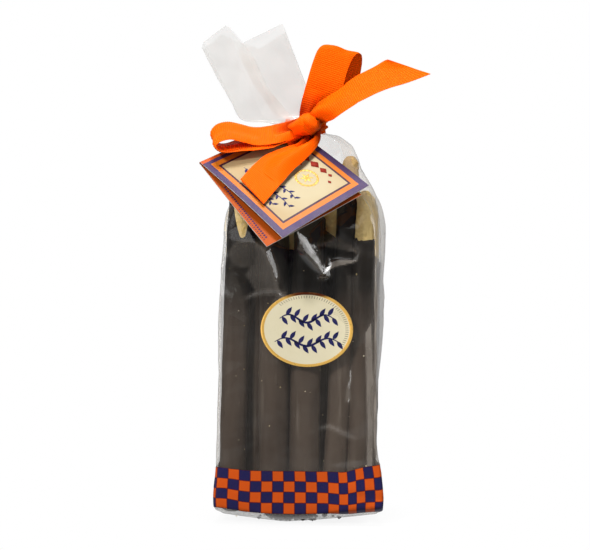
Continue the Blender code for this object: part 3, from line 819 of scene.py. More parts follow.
# ------------------------------------------------------------------ the bag's film
def bag_levels():
    """(height, left, right, front, back) of the bag's level sections, from its CAD node."""
    rings = {}
    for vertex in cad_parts["bag"].data.vertices:
        point = vertex.co / MM
        rings.setdefault(round(point.z, 1), []).append(point)
    rows = []
    for height in sorted(rings):
        across = [point.x for point in rings[height]]
        deep = [point.y for point in rings[height]]
        if height < NECK_SECTIONS_BELOW:
            rows.append((height, min(across), max(across), min(deep), max(deep)))
    return rows


def square_columns():
    """Places round a section as points of the square from -1 to 1, from the front's left corner."""
    corners = ((-1.0, -1.0), (1.0, -1.0), (1.0, 1.0), (-1.0, 1.0))
    columns = []
    for k, (_, count) in enumerate(FACE_COLUMNS):
        (u, v), (next_u, next_v) = corners[k], corners[(k + 1) % 4]
        columns += [(mix(u, next_u, i / count), mix(v, next_v, i / count)) for i in range(count)]
    return columns


def wall_at(level, height, column):
    """A point of the film's undisturbed wall, and the way out of the bag there."""
    left, right, front, back = level
    power = 2.4 + 46.0 * (1.0 - eased(142.0, 222.0, height)) ** 2
    u, v = column
    size = (abs(u) ** power + abs(v) ** power) ** (1.0 / power)
    u, v = u / size, v / size
    half_x, half_y = (right - left) / 2, (back - front) / 2
    point = Vector(((left + right) / 2 + u * half_x, (front + back) / 2 + v * half_y, height))
    out = Vector((math.copysign(abs(u) ** (power - 1), u) / half_x,
                  math.copysign(abs(v) ** (power - 1), v) / half_y, 0.0))
    return point, out.normalized()


def make_pleats(count):
    """For each column its place in its pleat, from -1 in the valley to 1 on the ridge, the
    pleat's depth, and the height where the pleat begins."""
    chance = random.Random(SEED)
    pleats = []
    while len(pleats) < count:
        breadth = min(chance.randint(*PLEAT_COLUMNS), count - len(pleats))
        lean = chance.uniform(0.3, 0.7)
        depth, start = chance.uniform(0.55, 1.0), chance.uniform(*PLEAT_START)
        for i in range(breadth):
            t = i / breadth
            wave = t / lean if t < lean else (1 - t) / (1 - lean)
            pleats.append((2 * wave - 1, depth, start))
    return pleats


def label_cover(point):
    """1 where the label holds the film flat, and 0 away from it."""
    (low_x, _, low_z), (high_x, _, high_z) = (corner / MM for corner in LABEL_BOX)
    across = (point.x - (low_x + high_x) / 2) / ((high_x - low_x) / 2)
    up = (point.z - (low_z + high_z) / 2) / ((high_z - low_z) / 2)
    return 1.0 - eased(1.0, 1.35, math.hypot(across, up))


def unrolled(column):
    """How far round the walls a place of the square is: the front runs from -50 to 50."""
    u, v = column
    if v <= -1.0:
        return 50.0 * u
    if u >= 1.0:
        return 80.0 + 30.0 * v
    if v >= 1.0:
        return 160.0 - 50.0 * u
    return -80.0 - 30.0 * v


def corner_gap(s):
    return min(abs(s - corner) for corner in (-110.0, -50.0, 50.0, 110.0, 210.0))


def over_label(s, z, margin=1.0):
    return math.hypot((s - 6.0) / 31.0, (z - 119.7) / 25.0) < margin


def crumple(s, z):
    """(spacing, height) of the film's chance creases at a place of the unrolled walls."""
    high, low = eased(130.0, 172.0, z), 1.0 - eased(10.0, 26.0, z)
    corner = 1.0 - eased(3.0, 12.0, corner_gap(s))
    spacing = 17.0 - 9.0 * max(high, low, corner)
    height = 0.20 + 0.85 * high + 0.30 * low + 0.45 * corner
    if abs(s) < 48.0 and z > 134.0:
        height *= 0.35
    return spacing, height


def make_relief():
    """The film's creases as a faceted landscape over the unrolled walls."""
    chance = random.Random(SEED + 2)
    points, lifts, edges = [], [], []
    for line in CREASES:
        for k, (x, z, lift) in enumerate(line):
            left, right = at_key(LEVELS, z)[:2]
            points.append(Vector((50.0 * (2 * x - left - right) / (right - left), z)))
            lifts.append(lift)
            if k:
                edges.append((len(points) - 2, len(points) - 1))
    for _ in range(RELIEF_TRIES):
        spot = Vector((chance.uniform(-110.0, 210.0), chance.uniform(-4.0, 250.0)))
        spacing, height = crumple(spot.x, spot.y)
        if all((spot - other).length > spacing for other in points):
            points.append(spot)
            lifts.append(0.0 if over_label(*spot) else chance.uniform(-height, height))
    for k in range(len(points)):
        for shift in (-PERIMETER, PERIMETER):
            if -150.0 < points[k].x + shift < 250.0:
                points.append(points[k] + Vector((shift, 0.0)))
                lifts.append(lifts[k])
    found = geometry.delaunay_2d_cdt(points, edges, [], 0, 0.01)
    solid = []
    for spot, sources in zip(found[0], found[3]):
        solid.append(Vector((spot.x, spot.y, lifts[sources[0]] if sources else 0.0)))
    return BVHTree.FromPolygons(solid, found[2])


def wrinkle(point, out, column):
    """How far the film stands out from its plain wall."""
    hit = RELIEF.ray_cast(Vector((unrolled(column), point.z, 50.0)), Vector((0.0, 0.0, -1.0)))[0]
    slack = 0.40 * noise.noise(point / 34.0) * (1.0 - label_cover(point) if out.y < 0 else 1.0)
    fine = 0.05 * noise.noise(point / 4.0)
    return slack + fine + (hit.z if hit else 0.0)


def foot_lift(x, height):
    """How far the film's foot clears the ground towards its corners."""
    side = CORNER_LIFT[0] if x < FOOT_MIDDLE else CORNER_LIFT[1]
    reach = abs(x - FOOT_MIDDLE) / 55.0
    return side * reach ** 1.2 * (1.0 - eased(0.0, FOOT_LIFT_ENDS, height))


def shoulder_reach(height):
    """How far right the film may stand on the slope of its right shoulder."""
    for (low, near), (high, far) in zip(SHOULDER, SHOULDER[1:]):
        if low <= height < high:
            return mix(near, far, (height - low) / (high - low))
    return math.inf


def film_point(height, column, pleat):
    """A point of the film and the way out of the bag there."""
    point, out = wall_at(at_key(LEVELS, height), height, column)
    wave, depth, start = pleat
    gather = eased(start, 236.0, height)
    flat_share = 1.0 - 0.85 * eased(192.0, 228.0, height)
    lift = wrinkle(point, out, column) * flat_share
    lift += (wave - 0.35) * depth * PLEAT_DEPTH * gather * (1.0 - 0.45 * eased(228.0, 240.0, height))
    point += out * lift
    point.z += foot_lift(point.x, height)
    if point.y < 0.0:
        point.y += FOOT_TUCK * (1.0 - eased(0.0, 7.0, height)) * min(-point.y / 20.0, 1.0)
    point.x = min(point.x, shoulder_reach(point.z))
    return splayed(point), out


def splayed(point):
    """The foot's front right corner stands out, so the right wall runs inwards behind it."""
    low = 1.0 - eased(30.0, 130.0, point.z)
    if point.x > 0.0:
        point.x -= FOOT_SPLAY * low * (point.x / 50.0) ** 3 * eased(-30.0, 30.0, point.y)
    return point


def inside(outline, x, z):
    """Whether a place of the front lies inside an outline."""
    found = False
    for (ax, az), (bx, bz) in zip(outline, outline[1:] + outline[:1]):
        if (az > z) != (bz > z) and x < ax + (z - az) / (bz - az) * (bx - ax):
            found = not found
    return found


def cover(outline, x, z):
    """How much of a place an outline covers, with a soft edge."""
    xs, zs = zip(*outline)
    if not (min(xs) - 1.0 < x < max(xs) + 1.0 and min(zs) - 1.0 < z < max(zs) + 1.0):
        return 0.0
    spot, gap = Vector((x, z)), math.inf
    for start, end in zip(outline, outline[1:] + outline[:1]):
        run, reach = Vector(end) - Vector(start), spot - Vector(start)
        share = min(max(reach.dot(run) / run.length_squared, 0.0), 1.0)
        gap = min(gap, (reach - run * share).length)
    depth = gap if inside(outline, x, z) else -gap
    return eased(-SOFT_EDGE, SOFT_EDGE, depth)


def milkiness(point, column):
    """How milky the film is at a place, apart from its creases."""
    s, z = unrolled(column), point.z
    # The film is milky low down and nearly clear above the label; the clear upper part paints part of the
    # shade under the card.
    low = 1.0 - eased(118.0, 150.0, z)
    milk = mix(0.001, 0.030, low)
    if abs(s) <= 50.0:
        for amount, *outline in FACETS:
            milk = mix(milk, amount, cover(outline, point.x, z))
        patchy = 0.5 + noise.noise(Vector((s / 9.0, 0.0, z / 14.0)))
        milk *= mix(1.0, 0.4 + 1.2 * max(patchy, 0.0), 0.5 * (1.0 - milk))
    else:
        # The side walls are milkier, the right wall much more so higher up: on the right this paints its
        # bright slanting reflection.
        milk += mix(0.06, 0.20, eased(60.0, 130.0, z)) if s > 0.0 else 0.02
    # The milk along the front's upright edges is a painted highlight of the folded corners.
    edge = 1.0 - min(abs(abs(s) - 50.0) / 1.5, 1.0)
    edge *= 1.0 if s > 0.0 else 0.3
    worn = 0.35 + 0.9 * noise.noise(Vector((s, 3.0, z / 16.0)))
    return milk + EDGE_HIGHLIGHT_MILK * edge * max(worn, 0.1) * eased(30.0, 60.0, z)


def glint(point, column):
    """How brightly the film gleams at a place, beyond its plain gleam."""
    if abs(unrolled(column)) > 50.0:
        return 0.0
    return max(amount * cover(outline, point.x, point.z) for amount, *outline in GLINTS)


def film_marks(rings, columns):
    """For every point how much the film scatters there: at its creases and milky facets."""
    bends, count, last = [], len(rings[0]), len(rings) - 1
    for r, ring in enumerate(rings):
        above, below = rings[min(r + 1, last)], rings[max(r - 1, 0)]
        line = []
        for i, point in enumerate(ring):
            around = ring[i - 1] + ring[(i + 1) % count] + above[i] + below[i]
            bend = (around / 4 - point).length if 0 < r < last else 0.0
            line.append(min(bend * 6.0, 1.0) * (1.0 - 0.95 * eased(162.0, 182.0, point.z)))
        bends.append(line)
    marks = []
    for r, ring in enumerate(rings):
        near = (bends[max(r - 1, 0)], bends[r], bends[min(r + 1, last)])
        for i, point in enumerate(ring):
            bend = sum(line[i - 1] + line[i] + line[(i + 1) % count] for line in near) / 5.5
            crease = CREASE_MILK * min(bend, 1.0) ** 1.5
            milk = min(milkiness(point, columns[i]) + crease, 1.0)
            marks.append((milk, glint(point, columns[i])))
    return marks


def make_film_body(finish):
    columns = square_columns()
    pleats = make_pleats(len(columns))
    rows = int(NECK_MIDDLE / FILM_ROW)
    rings = []
    for r in range(rows + 1):
        height = NECK_MIDDLE * r / rows
        rings.append([film_point(height, c, p)[0] for c, p in zip(columns, pleats)])
    foot = rings[0]
    middle = Vector((FOOT_MIDDLE, 0.0, 0.3))
    inner = []
    for k in range(1, BASE_RINGS):
        share = 1.0 - k / BASE_RINGS
        ring = []
        for point in foot:
            spot = middle.lerp(point, share)
            spot.z = 0.3 + max(point.z - 0.3, 0.0) * share ** 2
            spot.z += 0.25 * abs(noise.noise(spot / 6.0)) * (1 - share)
            ring.append(spot)
        inner.insert(0, ring)
    rings = inner + rings
    piece("film_body", flat(rings), skin(rings), [finish], "bag", sharp=16.0,
          print_map=film_marks(rings, columns))


def fan_columns(count):
    """The fan's top edge, once round, as (place across, depth, rise) for each column."""
    folds = list(FAN_FOLDS) + [FAN_FOLDS[0]]
    lengths = [math.hypot((b[0] - a[0]) * 27.0, b[1] - a[1]) for a, b in zip(folds, folds[1:])]
    total, found, walked = sum(lengths), [], 0.0
    k = 0
    for i in range(count):
        target = total * i / count
        while k < len(lengths) - 1 and walked + lengths[k] < target:
            walked += lengths[k]
            k += 1
        share = (target - walked) / lengths[k]
        found.append(tuple(mix(a, b, share) for a, b in zip(folds[k], folds[k + 1])))
    return found


def make_film_fan(finish):
    """Loose film above the neck, in overlapping folds that spread from the ribbon."""
    count = sum(number for _, number in FACE_COLUMNS)
    tops = fan_columns(count)
    pleats = make_pleats(count)
    sections = [(k, *left, *right, front, back)
                for k, (left, right, front, back) in enumerate(FAN_SECTIONS)]
    rings = []
    for r in range(FAN_ROWS + 1):
        q = r / FAN_ROWS
        left_x, left_z, right_x, right_z, front, back = at_key(sections, q * (len(sections) - 1))
        opened = eased(0.0, 0.36, q)
        ring = []
        for i in range(count):
            angle = math.pi + 2 * math.pi * i / count
            pinch = 1.0 + 0.14 * pleats[i][0] * (1.0 - eased(0.1, 0.5, q))
            place = mix(math.cos(angle) * pinch, tops[i][0], opened)
            deep = mix((front + back) / 2 + math.sin(angle) * pinch * (back - front) / 2,
                       tops[i][1], opened)
            share = (place + 1) / 2
            rise = tops[i][2] * eased(0.30, 1.0, q)
            point = Vector((mix(left_x, right_x, share), deep, mix(left_z, right_z, share) + rise))
            point.y += 0.8 * opened * noise.noise(Vector((point.x, deep * 3.0, point.z)) / 13.0)
            point.y += 0.5 * opened * (noise.voronoi(point / 12.0)[0][0] - 0.4)
            ring.append(point)
        rings.append(ring)
    piece("film_fan", flat(rings), skin(rings), [finish], "bag", sharp=24.0)


def make_check_band(finish):
    """The printed foot of the bag."""
    columns = square_columns()
    pleats = make_pleats(len(columns))
    level = at_key(LEVELS, CHECK_HEAD / 2)
    walls = [wall_at(level, 0.0, column)[0] for column in columns]
    walked = [0.0]
    for a, b in zip(walls, walls[1:] + walls[:1]):
        walked.append(walked[-1] + (b - a).length)
    for i in range(len(walked)):
        walked[i] += CHECK_TUCK * (eased(24.0, 50.0, walls[i].x) if i < FACE_COLUMNS[0][1] else 1.0)
    squares = 2 * round(walked[-1] / CHECK_WIDTH / 2)
    steps = CHECK_ROWS * 7
    rings, print_map = [], []
    for r in range(steps + 1):
        row = r / steps
        ring = []
        for i in list(range(len(columns))) + [0]:
            column, wall = columns[i], walls[i]
            left = eased(-27.0, -49.0, wall.x)
            right = eased(29.0, 53.0, wall.x) * (1.0 - 0.7 * eased(-30.0, 10.0, wall.y))
            low = CHECK_FOOT + 2.6 * left + 1.2 * right
            high = CHECK_HEAD + 1.7 * left + 5.0 * right
            wanted = mix(low, high, row) + 0.9 * noise.noise(Vector((wall.x / 13.0, wall.y, row)))
            height = wanted
            for _ in range(8):
                height = max(wanted - foot_lift(wall.x, height), 0.0)
            point, out = film_point(height, column, pleats[i])
            ring.append(point + out * CHECK_OUTSIDE)
        rings.append(ring)
        for distance in walked:
            print_map.append((2 * squares + (distance - CHECK_START) / walked[-1] * squares,
                              row * CHECK_ROWS))
    piece("printed_check", flat(rings), skin(rings, closed=False), [finish], "bag",
          sharp=30.0, print_map=print_map)


# ------------------------------------------------------------------ the breadsticks
def stick_middle(stick, height):
    (x0, y0), (x1, y1), _, _, top, bow, _ = stick
    t = max(height, 0.0) / top
    return Vector((mix(x0, x1, t) + bow * math.sin(math.pi * t), mix(y0, y1, t ** 1.7), height))


def core_radius(stick, number, angle, height):
    """The uneven radius of a baked core at a place on its side."""
    radius = stick[2] - COAT
    turn = Vector((math.cos(angle), math.sin(angle), 0.0))
    far = Vector((0.0, 0.0, 17.0 * number))
    swell = 0.075 * noise.noise(turn * 0.7 + Vector((0, 0, height / 26.0)) + far)
    lump = 0.030 * noise.noise(turn * 1.9 + Vector((0, 0, height / 8.0)) + far)
    groove = 0.045 * noise.noise(turn * 3.4 + Vector((0, 0, height / 70.0)) + far)
    taper = 0.20 * eased(stick[4] - 30.0, stick[4] - 4.0, height)
    return radius * (1.0 + swell + lump + groove - taper)


def round_end(distance, radius, depth=0.85):
    """The share of the radius left near a rounded end."""
    reach = radius * depth
    if distance >= reach:
        return 1.0
    return math.sqrt(max(1.0 - (1.0 - max(distance, 0.0) / reach) ** 2, 0.0))


def side_point(stick, angle, height, radius):
    return stick_middle(stick, height) + Vector((math.cos(angle), math.sin(angle), 0.0)) * radius


def add_core(heap, stick, number, turns, row):
    """The bread from just under the coat's edge to its rounded end."""
    _, _, radius, coat, top, _, (_, _, dip) = stick
    start = coat - dip - 10.0
    steps = int((top - start) / row) + 6
    rings = []
    for k in range(steps):
        share = k / steps
        height = mix(start, top, 1.0 - (1.0 - share) ** 1.25)
        ring = []
        for i in range(turns):
            angle = 2 * math.pi * i / turns
            reach = core_radius(stick, number, angle, height) * round_end(top - height, radius)
            spot = side_point(stick, angle, height, reach)
            pit = noise.voronoi(spot / 2.6)[0][0]
            reach -= 0.35 * max(0.0, 0.5 - pit) + 0.22 * noise.noise(spot / 1.7)
            ring.append(side_point(stick, angle, height, max(reach, 0.2)))
        rings.append(ring)
    heap.add_tube(rings)


def coat_edge(stick, number, angle):
    """The height of the coat's uneven upper edge."""
    turn = Vector((math.cos(angle), math.sin(angle), 3.1 * number))
    way, breadth, depth = stick[6]
    gap = abs((math.degrees(angle) - way + 180.0) % 360.0 - 180.0)
    edge = stick[3] - depth * eased(0.0, 1.0, 1.0 - gap / breadth)
    return edge + 1.6 * noise.noise(turn * 1.2) + 1.7 * noise.noise(turn * 3.7)


def add_coat(heap, stick, number, turns, row):
    """The chocolate from the foot to its uneven edge, tucked in against the bread."""
    radius, foot = stick[2], FOOT_HEIGHT
    steps = int(stick[3] / row)
    rings = []
    for k in range(steps + 1):
        share = k / steps
        ring = []
        for i in range(turns):
            angle = 2 * math.pi * i / turns
            edge = coat_edge(stick, number, angle)
            height = mix(foot, edge, share)
            below = edge - height
            thick = COAT * (1.0 - math.exp(-below / 0.9))
            thick += 0.45 * math.exp(-((below - 1.8) / 1.3) ** 2)
            spot = Vector((math.cos(angle) * 2.0, math.sin(angle) * 2.0, height / 9.0))
            thick += 0.16 * noise.noise(spot + Vector((5.0 * number, 0.0, 0.0)))
            if k == steps:
                thick = -0.25
            reach = (core_radius(stick, number, angle, height) + thick)
            ring.append(side_point(stick, angle, height, reach * round_end(height - foot + 0.6, radius, 0.7)))
        rings.append(ring)
    heap.add_tube(rings)


def make_sticks(chocolate, bread):
    cores, coats, rear_coats = Heap(), Heap(), Heap()
    for number, stick in enumerate(FRONT_STICKS):
        add_core(cores, stick, number, FRONT_TURNS, 1.1)
        add_coat(coats, stick, number, FRONT_TURNS, FRONT_ROW)
    for number, stick in enumerate(REAR_STICKS, len(FRONT_STICKS)):
        add_core(cores, stick, number, REAR_TURNS, 1.6)
        add_coat(rear_coats, stick, number, REAR_TURNS, REAR_ROW)
    piece("bread_cores", cores.points, cores.faces, [bread], "bag")
    piece("coats_front", coats.points, coats.faces, [chocolate], "bag")
    piece("coats_rear", rear_coats.points, rear_coats.faces, [chocolate], "bag")


def make_crumbs(chocolate, pale_crumb):
    """Flakes and crumbs stuck to the coats and lying at the foot of the bag."""
    chance = random.Random(SEED + 1)
    heaps = (Heap(), Heap())
    for _ in range(CRUMBS):
        size = 0.16 + 0.55 * chance.random() ** 2
        pale = chance.random()
        if chance.random() < 0.20:
            stick = chance.choice(FRONT_STICKS)
            angle = -math.pi / 2 + chance.uniform(-1.2, 1.2)
            height = chance.uniform(4.0, 155.0)
            middle = side_point(stick, angle, height, stick[2] + 0.1)
        else:
            middle = Vector((chance.gauss(-4.0, 7.0), chance.uniform(-19.0, 12.0),
                             chance.uniform(0.5, 4.5)))
            size, pale = 1.5 * chance.uniform(0.4, 1.3), pale + 0.30
            middle.z = max(middle.z, size * 1.2)
        build = bmesh.new()
        bmesh.ops.create_icosphere(build, subdivisions=1, radius=size)
        points = []
        for vertex in build.verts:
            push = 1.0 + 0.5 * noise.noise(vertex.co * 1.7 + middle)
            points.append(middle + Vector((vertex.co.x, vertex.co.y, vertex.co.z * 0.8)) * push)
        faces = [tuple(v.index for v in face.verts) for face in build.faces]
        build.free()
        heaps[pale < 0.35].add_shape(points, faces)
    piece("crumbs_dark", heaps[0].points, heaps[0].faces, [chocolate], "bag")
    piece("crumbs_pale", heaps[1].points, heaps[1].faces, [pale_crumb], "bag")


# ------------------------------------------------------------------ the ribbon
def thick_faces(rows, columns):
    """Faces of a closed sheet stored as its upper side and then its lower side."""
    half = rows * columns
    faces = []
    for i in range(rows - 1):
        for j in range(columns - 1):
            a, b = i * columns + j, i * columns + j + 1
            c, d = b + columns, a + columns
            faces.append((a, b, c, d))
            faces.append((half + d, half + c, half + b, half + a))
    border = [i * columns for i in range(rows)]
    border += [(rows - 1) * columns + j for j in range(1, columns)]
    border += [i * columns + columns - 1 for i in range(rows - 2, -1, -1)]
    border += list(range(columns - 2, 0, -1))
    for a, b in zip(border, border[1:] + border[:1]):
        faces.append((a, b, half + b, half + a))
    return faces


def grid_normals(grid, closed=False):
    rows, columns = len(grid), len(grid[0])
    normals = []
    for i in range(rows):
        ahead = grid[(i + 1) % rows] if closed else grid[min(i + 1, rows - 1)]
        behind = grid[(i - 1) % rows] if closed else grid[max(i - 1, 0)]
        line = []
        for j in range(columns):
            across = grid[i][min(j + 1, columns - 1)] - grid[i][max(j - 1, 0)]
            line.append((ahead[j] - behind[j]).cross(across).normalized())
        normals.append(line)
    return normals


def gather_fold(width, share, waves, phase):
    """How far a ribbon narrower than its full width stands out in its lengthwise folds."""
    spare = max(RIBBON_WIDTH / width - 1.0, 0.0)
    depth = min(width / (math.pi * waves) * math.sqrt(spare), 2.4)
    return depth * math.sin(2 * math.pi * (waves * (share + 0.5) + phase))


def rib_lift(i):
    return RIB_LIFT * math.cos(2 * math.pi * i / RIB_STEPS)


def make_strip(name, stations, finish, waves=2.0, phase=0.0, folded=1.0, node="ribbon"):
    """A length of ribbed ribbon along its stations.  Returns the piece and its length."""
    middles = smooth_path([Vector(middle) for middle, _ in stations], 16)
    widths = smooth_path([Vector(width) for _, width in stations], 16)
    rows = even_rows(middles, widths, RIB_PITCH / RIB_STEPS)
    grid = []
    for i, (middle, width) in enumerate(rows):
        along = rows[min(i + 1, len(rows) - 1)][0] - rows[max(i - 1, 0)][0]
        up = along.cross(width).normalized()
        line = []
        for j in range(RIBBON_COLUMNS):
            share = j / (RIBBON_COLUMNS - 1) - 0.5
            fold = gather_fold(width.length, share, waves, phase) * folded
            slack = 0.35 * noise.noise((middle + width * share) / 14.0)
            line.append(middle + width * share + up * (fold + slack))
        grid.append(line)
    normals = grid_normals(grid)
    sides, print_map = [], []
    for sign in (1.0, -1.0):
        for i, line in enumerate(grid):
            for j, point in enumerate(line):
                selvedge = 0.35 if j in (0, RIBBON_COLUMNS - 1) else 1.0
                lift = sign * selvedge * (RIBBON_THICK / 2 + rib_lift(i))
                sides.append(point + normals[i][j] * lift)
                print_map.append((j / (RIBBON_COLUMNS - 1), i / RIB_STEPS))
    faces = thick_faces(len(grid), RIBBON_COLUMNS)
    made = piece(name, sides, faces, [finish], node, sharp=60.0, print_map=print_map)
    return made, len(rows) * RIB_PITCH / RIB_STEPS


def ribbon_ring(name, middle_at, across, breadth, finish, crown, folds=0.0):
    """A band of ribbon in a closed ring, such as the knot: middle_at gives its path."""
    columns, count = 17, 240
    print_map = []
    path = [middle_at(2 * math.pi * i / count) for i in range(count)]
    centre = sum(path, Vector()) / count
    total = sum((b - a).length for a, b in zip(path, path[1:] + path[:1]))
    ribs = round(total / RIB_PITCH)
    sides = []
    for level in (1.0, 0.0):
        for i, point in enumerate(path):
            away = (point - centre).normalized()
            for j in range(columns):
                share = j / (columns - 1) - 0.5
                pull = crown * (2 * abs(share)) ** 2.6
                lift = 0.12 * math.cos(2 * math.pi * ribs * i / count)
                crimp = folds * math.sin(9.0 * share + 2.0 * math.sin(2 * math.pi * i / count))
                spot = point + away * (level * (RIBBON_THICK + lift) + crimp) - (point - centre) * pull
                spot += across * (share * breadth * (1.0 + 0.10 * math.cos(4 * math.pi * i / count)))
                spot += across * 0.7 * noise.noise(point / 6.0)
                sides.append(spot)
                print_map.append((share, ribs * i / count))
    half = count * columns
    faces = []
    for i in range(count):
        k = (i + 1) % count
        for j in range(columns - 1):
            a, b, c, d = i * columns + j, i * columns + j + 1, k * columns + j + 1, k * columns + j
            faces.append((a, d, c, b))
            faces.append((half + a, half + b, half + c, half + d))
        for j, turn in ((0, 1), (columns - 1, -1)):
            quad = (i * columns + j, k * columns + j, half + k * columns + j, half + i * columns + j)
            faces.append(quad[::-turn])
    return piece(name, sides, faces, [finish], "ribbon", sharp=60.0,
                 print_map=print_map)


def knot_turn(name, centre, run, size, breadth, finish, crown, folds):
    """One turn of ribbon round the knot."""
    run = run.normalized()
    depth = Vector((0.0, -1.0, 0.0))
    up = run.cross(depth).normalized()

    def path(angle):
        squash = size * (1.0 + 0.10 * math.cos(2 * angle + 0.6))
        return centre + (up * KNOT_HALF[0] * math.cos(angle)
                         + depth * KNOT_HALF[1] * math.sin(angle)) * squash

    ribbon_ring(name, path, run, breadth, finish, crown, folds)


def make_knot(finish):
    knot_turn("ribbon_knot", KNOT_CENTRE, KNOT_RUN, 1.0, KNOT_BREADTH, finish, 0.50, 0.7)
    knot_turn("ribbon_knot_turn", KNOT_CENTRE + KNOT_RUN * 3.2, TURN_RUN, 1.07, TURN_BREADTH,
              finish, 0.34, 0.4)


def make_neck_wrap(finish):
    centre = Vector((NECK_CENTRE.x, NECK_CENTRE.y, NECK_MIDDLE))

    def path(angle):
        return centre + Vector(((NECK_HALF.x + 0.9) * math.cos(angle),
                                (NECK_HALF.y + 0.9) * math.sin(angle), 0.0))

    ribbon_ring("ribbon_neck_wrap", path, Vector((0.0, 0.0, 1.0)), WRAP_HEIGHT, finish, 0.03, 0.25)


def make_throat(finish):
    """The twisted length of ribbon that passes through the card's punched hole."""
    path = smooth_path([Vector(point) for point in THROAT], 14)
    rings = []
    for i, point in enumerate(path):
        ahead = (path[min(i + 1, len(path) - 1)] - path[max(i - 1, 0)]).normalized()
        side = ahead.cross(Vector((0.35, -0.9, 0.2))).normalized()
        other = ahead.cross(side)
        ring = []
        for k in range(24):
            angle = 2 * math.pi * k / 24
            reach = 1.25 * (1.0 + 0.16 * math.sin(4 * angle + 0.35 * i))
            ring.append(point + (side * math.cos(angle) + other * math.sin(angle)) * reach)
        rings.append(ring)
    heap = Heap()
    heap.add_tube(rings)
    print_map = [(0.0, 0.5 * (k // 24)) for k in range(len(heap.points))]
    piece("ribbon_throat", heap.points, heap.faces, [finish], "ribbon",
          print_map=print_map)


def make_ribbon(finish):
    strips = (
        ("ribbon_left_loop", LEFT_LOOP, 1.5, 0.1, "gathered"),
        ("ribbon_right_loop", RIGHT_LOOP, 1.5, 0.3, "gathered"),
        ("ribbon_right_tail", RIGHT_TAIL, 1.0, 0.25, "hung"),
        ("ribbon_front_tail", FRONT_TAIL, 1.0, 0.6, "laid"),
        ("ribbon_tuck", TUCK, 2.0, 0.3, "gathered"),
        ("ribbon_strand", STRAND, 2.0, 0.0, "gathered"),
    )
    for name, stations, waves, phase, held in strips:
        made, length = make_strip(name, stations, finish, waves, phase)
    make_knot(finish)
    make_neck_wrap(finish)
    make_throat(finish)


# ------------------------------------------------------------------ the card
def leaf_point(corners, along, down):
    """A point on a leaf: along runs down the fold, and down runs away from it."""
    top, left, right, bottom = corners
    return (top * (1 - along) * (1 - down) + left * along * (1 - down)
            + right * (1 - along) * down + bottom * along * down)


def card_normal():
    return (CARD_RIGHT - CARD_LEFT).cross(CARD_TOP - CARD_BOTTOM).normalized()


def leaf_bow(along, down):
    """A leaf's gentle bow between its fold and its free edge."""
    return 0.9 * math.sin(math.pi * down) + 0.4 * math.sin(math.pi * along) * down


def front_corners():
    return CARD_TOP, CARD_LEFT, CARD_RIGHT, CARD_BOTTOM


def back_corners():
    behind = -card_normal() * CARD_FOLD_GAP
    return CARD_TOP + behind, CARD_LEFT + behind, CARD_BACK_RIGHT, CARD_BACK_BOTTOM


def make_leaf(name, corners, bow, finishes):
    """One leaf of the card, with its print on the outside and a paper edge."""
    normal = card_normal()
    count = CARD_STEPS + 1
    points, print_map = [], []
    for sign in (0.5, -0.5):
        for i in range(count):
            for j in range(count):
                along, down = i / CARD_STEPS, j / CARD_STEPS
                spot = leaf_point(corners, along, down)
                points.append(spot + normal * (bow * leaf_bow(along, down) + sign * CARD_THICK))
                print_map.append((along, down))
    faces = thick_faces(count, count)
    sides = 2 * CARD_STEPS * CARD_STEPS
    marks = [k % 2 for k in range(sides)] + [2] * (len(faces) - sides)
    made = piece(name, points, faces, finishes, "tag", sharp=40.0, marks=marks,
                 print_map=print_map)
    punch_hole(made)
    return made


def punch_hole(leaf):
    """Cuts the round hole near the card's top corner."""
    middle = sum(front_corners(), Vector()) / 4
    hole = CARD_TOP + (middle - CARD_TOP).normalized() * CARD_HOLE_IN
    build = bmesh.new()
    bmesh.ops.create_cone(build, cap_ends=True, segments=40, radius1=CARD_HOLE_RADIUS * MM,
                          radius2=CARD_HOLE_RADIUS * MM, depth=14.0 * MM)
    mesh = bpy.data.meshes.new("punch")
    build.to_mesh(mesh)
    build.free()
    punch = bpy.data.objects.new("punch", mesh)
    bpy.context.collection.objects.link(punch)
    punch.rotation_euler = card_normal().to_track_quat("Z", "Y").to_euler()
    punch.location = hole * MM
    cut = leaf.modifiers.new("punch", "BOOLEAN")
    cut.operation = "DIFFERENCE"
    cut.solver = "EXACT"
    cut.object = punch
    bpy.context.view_layer.update()
    ready = bpy.data.meshes.new_from_object(leaf.evaluated_get(
        bpy.context.evaluated_depsgraph_get()))
    leaf.modifiers.clear()
    leaf.data = ready
    bpy.data.objects.remove(punch, do_unlink=True)


def make_fold(finish):
    """The rounded fold that joins the two leaves."""
    normal = card_normal()
    out = (CARD_TOP - CARD_RIGHT).normalized()
    back = back_corners()
    rings = []
    for k in range(CARD_STEPS + 1):
        along = k / CARD_STEPS
        front = leaf_point(front_corners(), along, 0.0)
        rear = leaf_point(back, along, 0.0)
        middle, half = (front + rear) / 2, CARD_FOLD_GAP / 2
        ring = []
        for reach, turn in ((half + CARD_THICK / 2, 1), (half - CARD_THICK / 2, -1)):
            for s in range(9)[::turn]:
                angle = math.pi * (s / 8 - 0.5)
                ring.append(middle + normal * math.sin(angle) * reach + out * math.cos(angle) * reach)
        rings.append(ring)
    faces = skin(rings)
    ends = [tuple(range(18))[::-1], tuple(range(CARD_STEPS * 18, CARD_STEPS * 18 + 18))]
    piece("card_fold", flat(rings), faces + ends, [finish], "tag", sharp=50.0)


def card_spot(along, down, lift):
    """A place on the front leaf's printed face."""
    normal = card_normal()
    spot = leaf_point(front_corners(), along, down)
    return spot + normal * (leaf_bow(along, down) + CARD_THICK / 2 + lift)


def leaf_outline(length, breadth, steps=10):
    """A pointed leaf shape as its left and right edges, from its stalk at the origin."""
    edges = []
    for k in range(steps + 1):
        t = k / steps
        edges.append((length * t, breadth * math.sin(math.pi * t ** 0.8) / 2))
    return edges


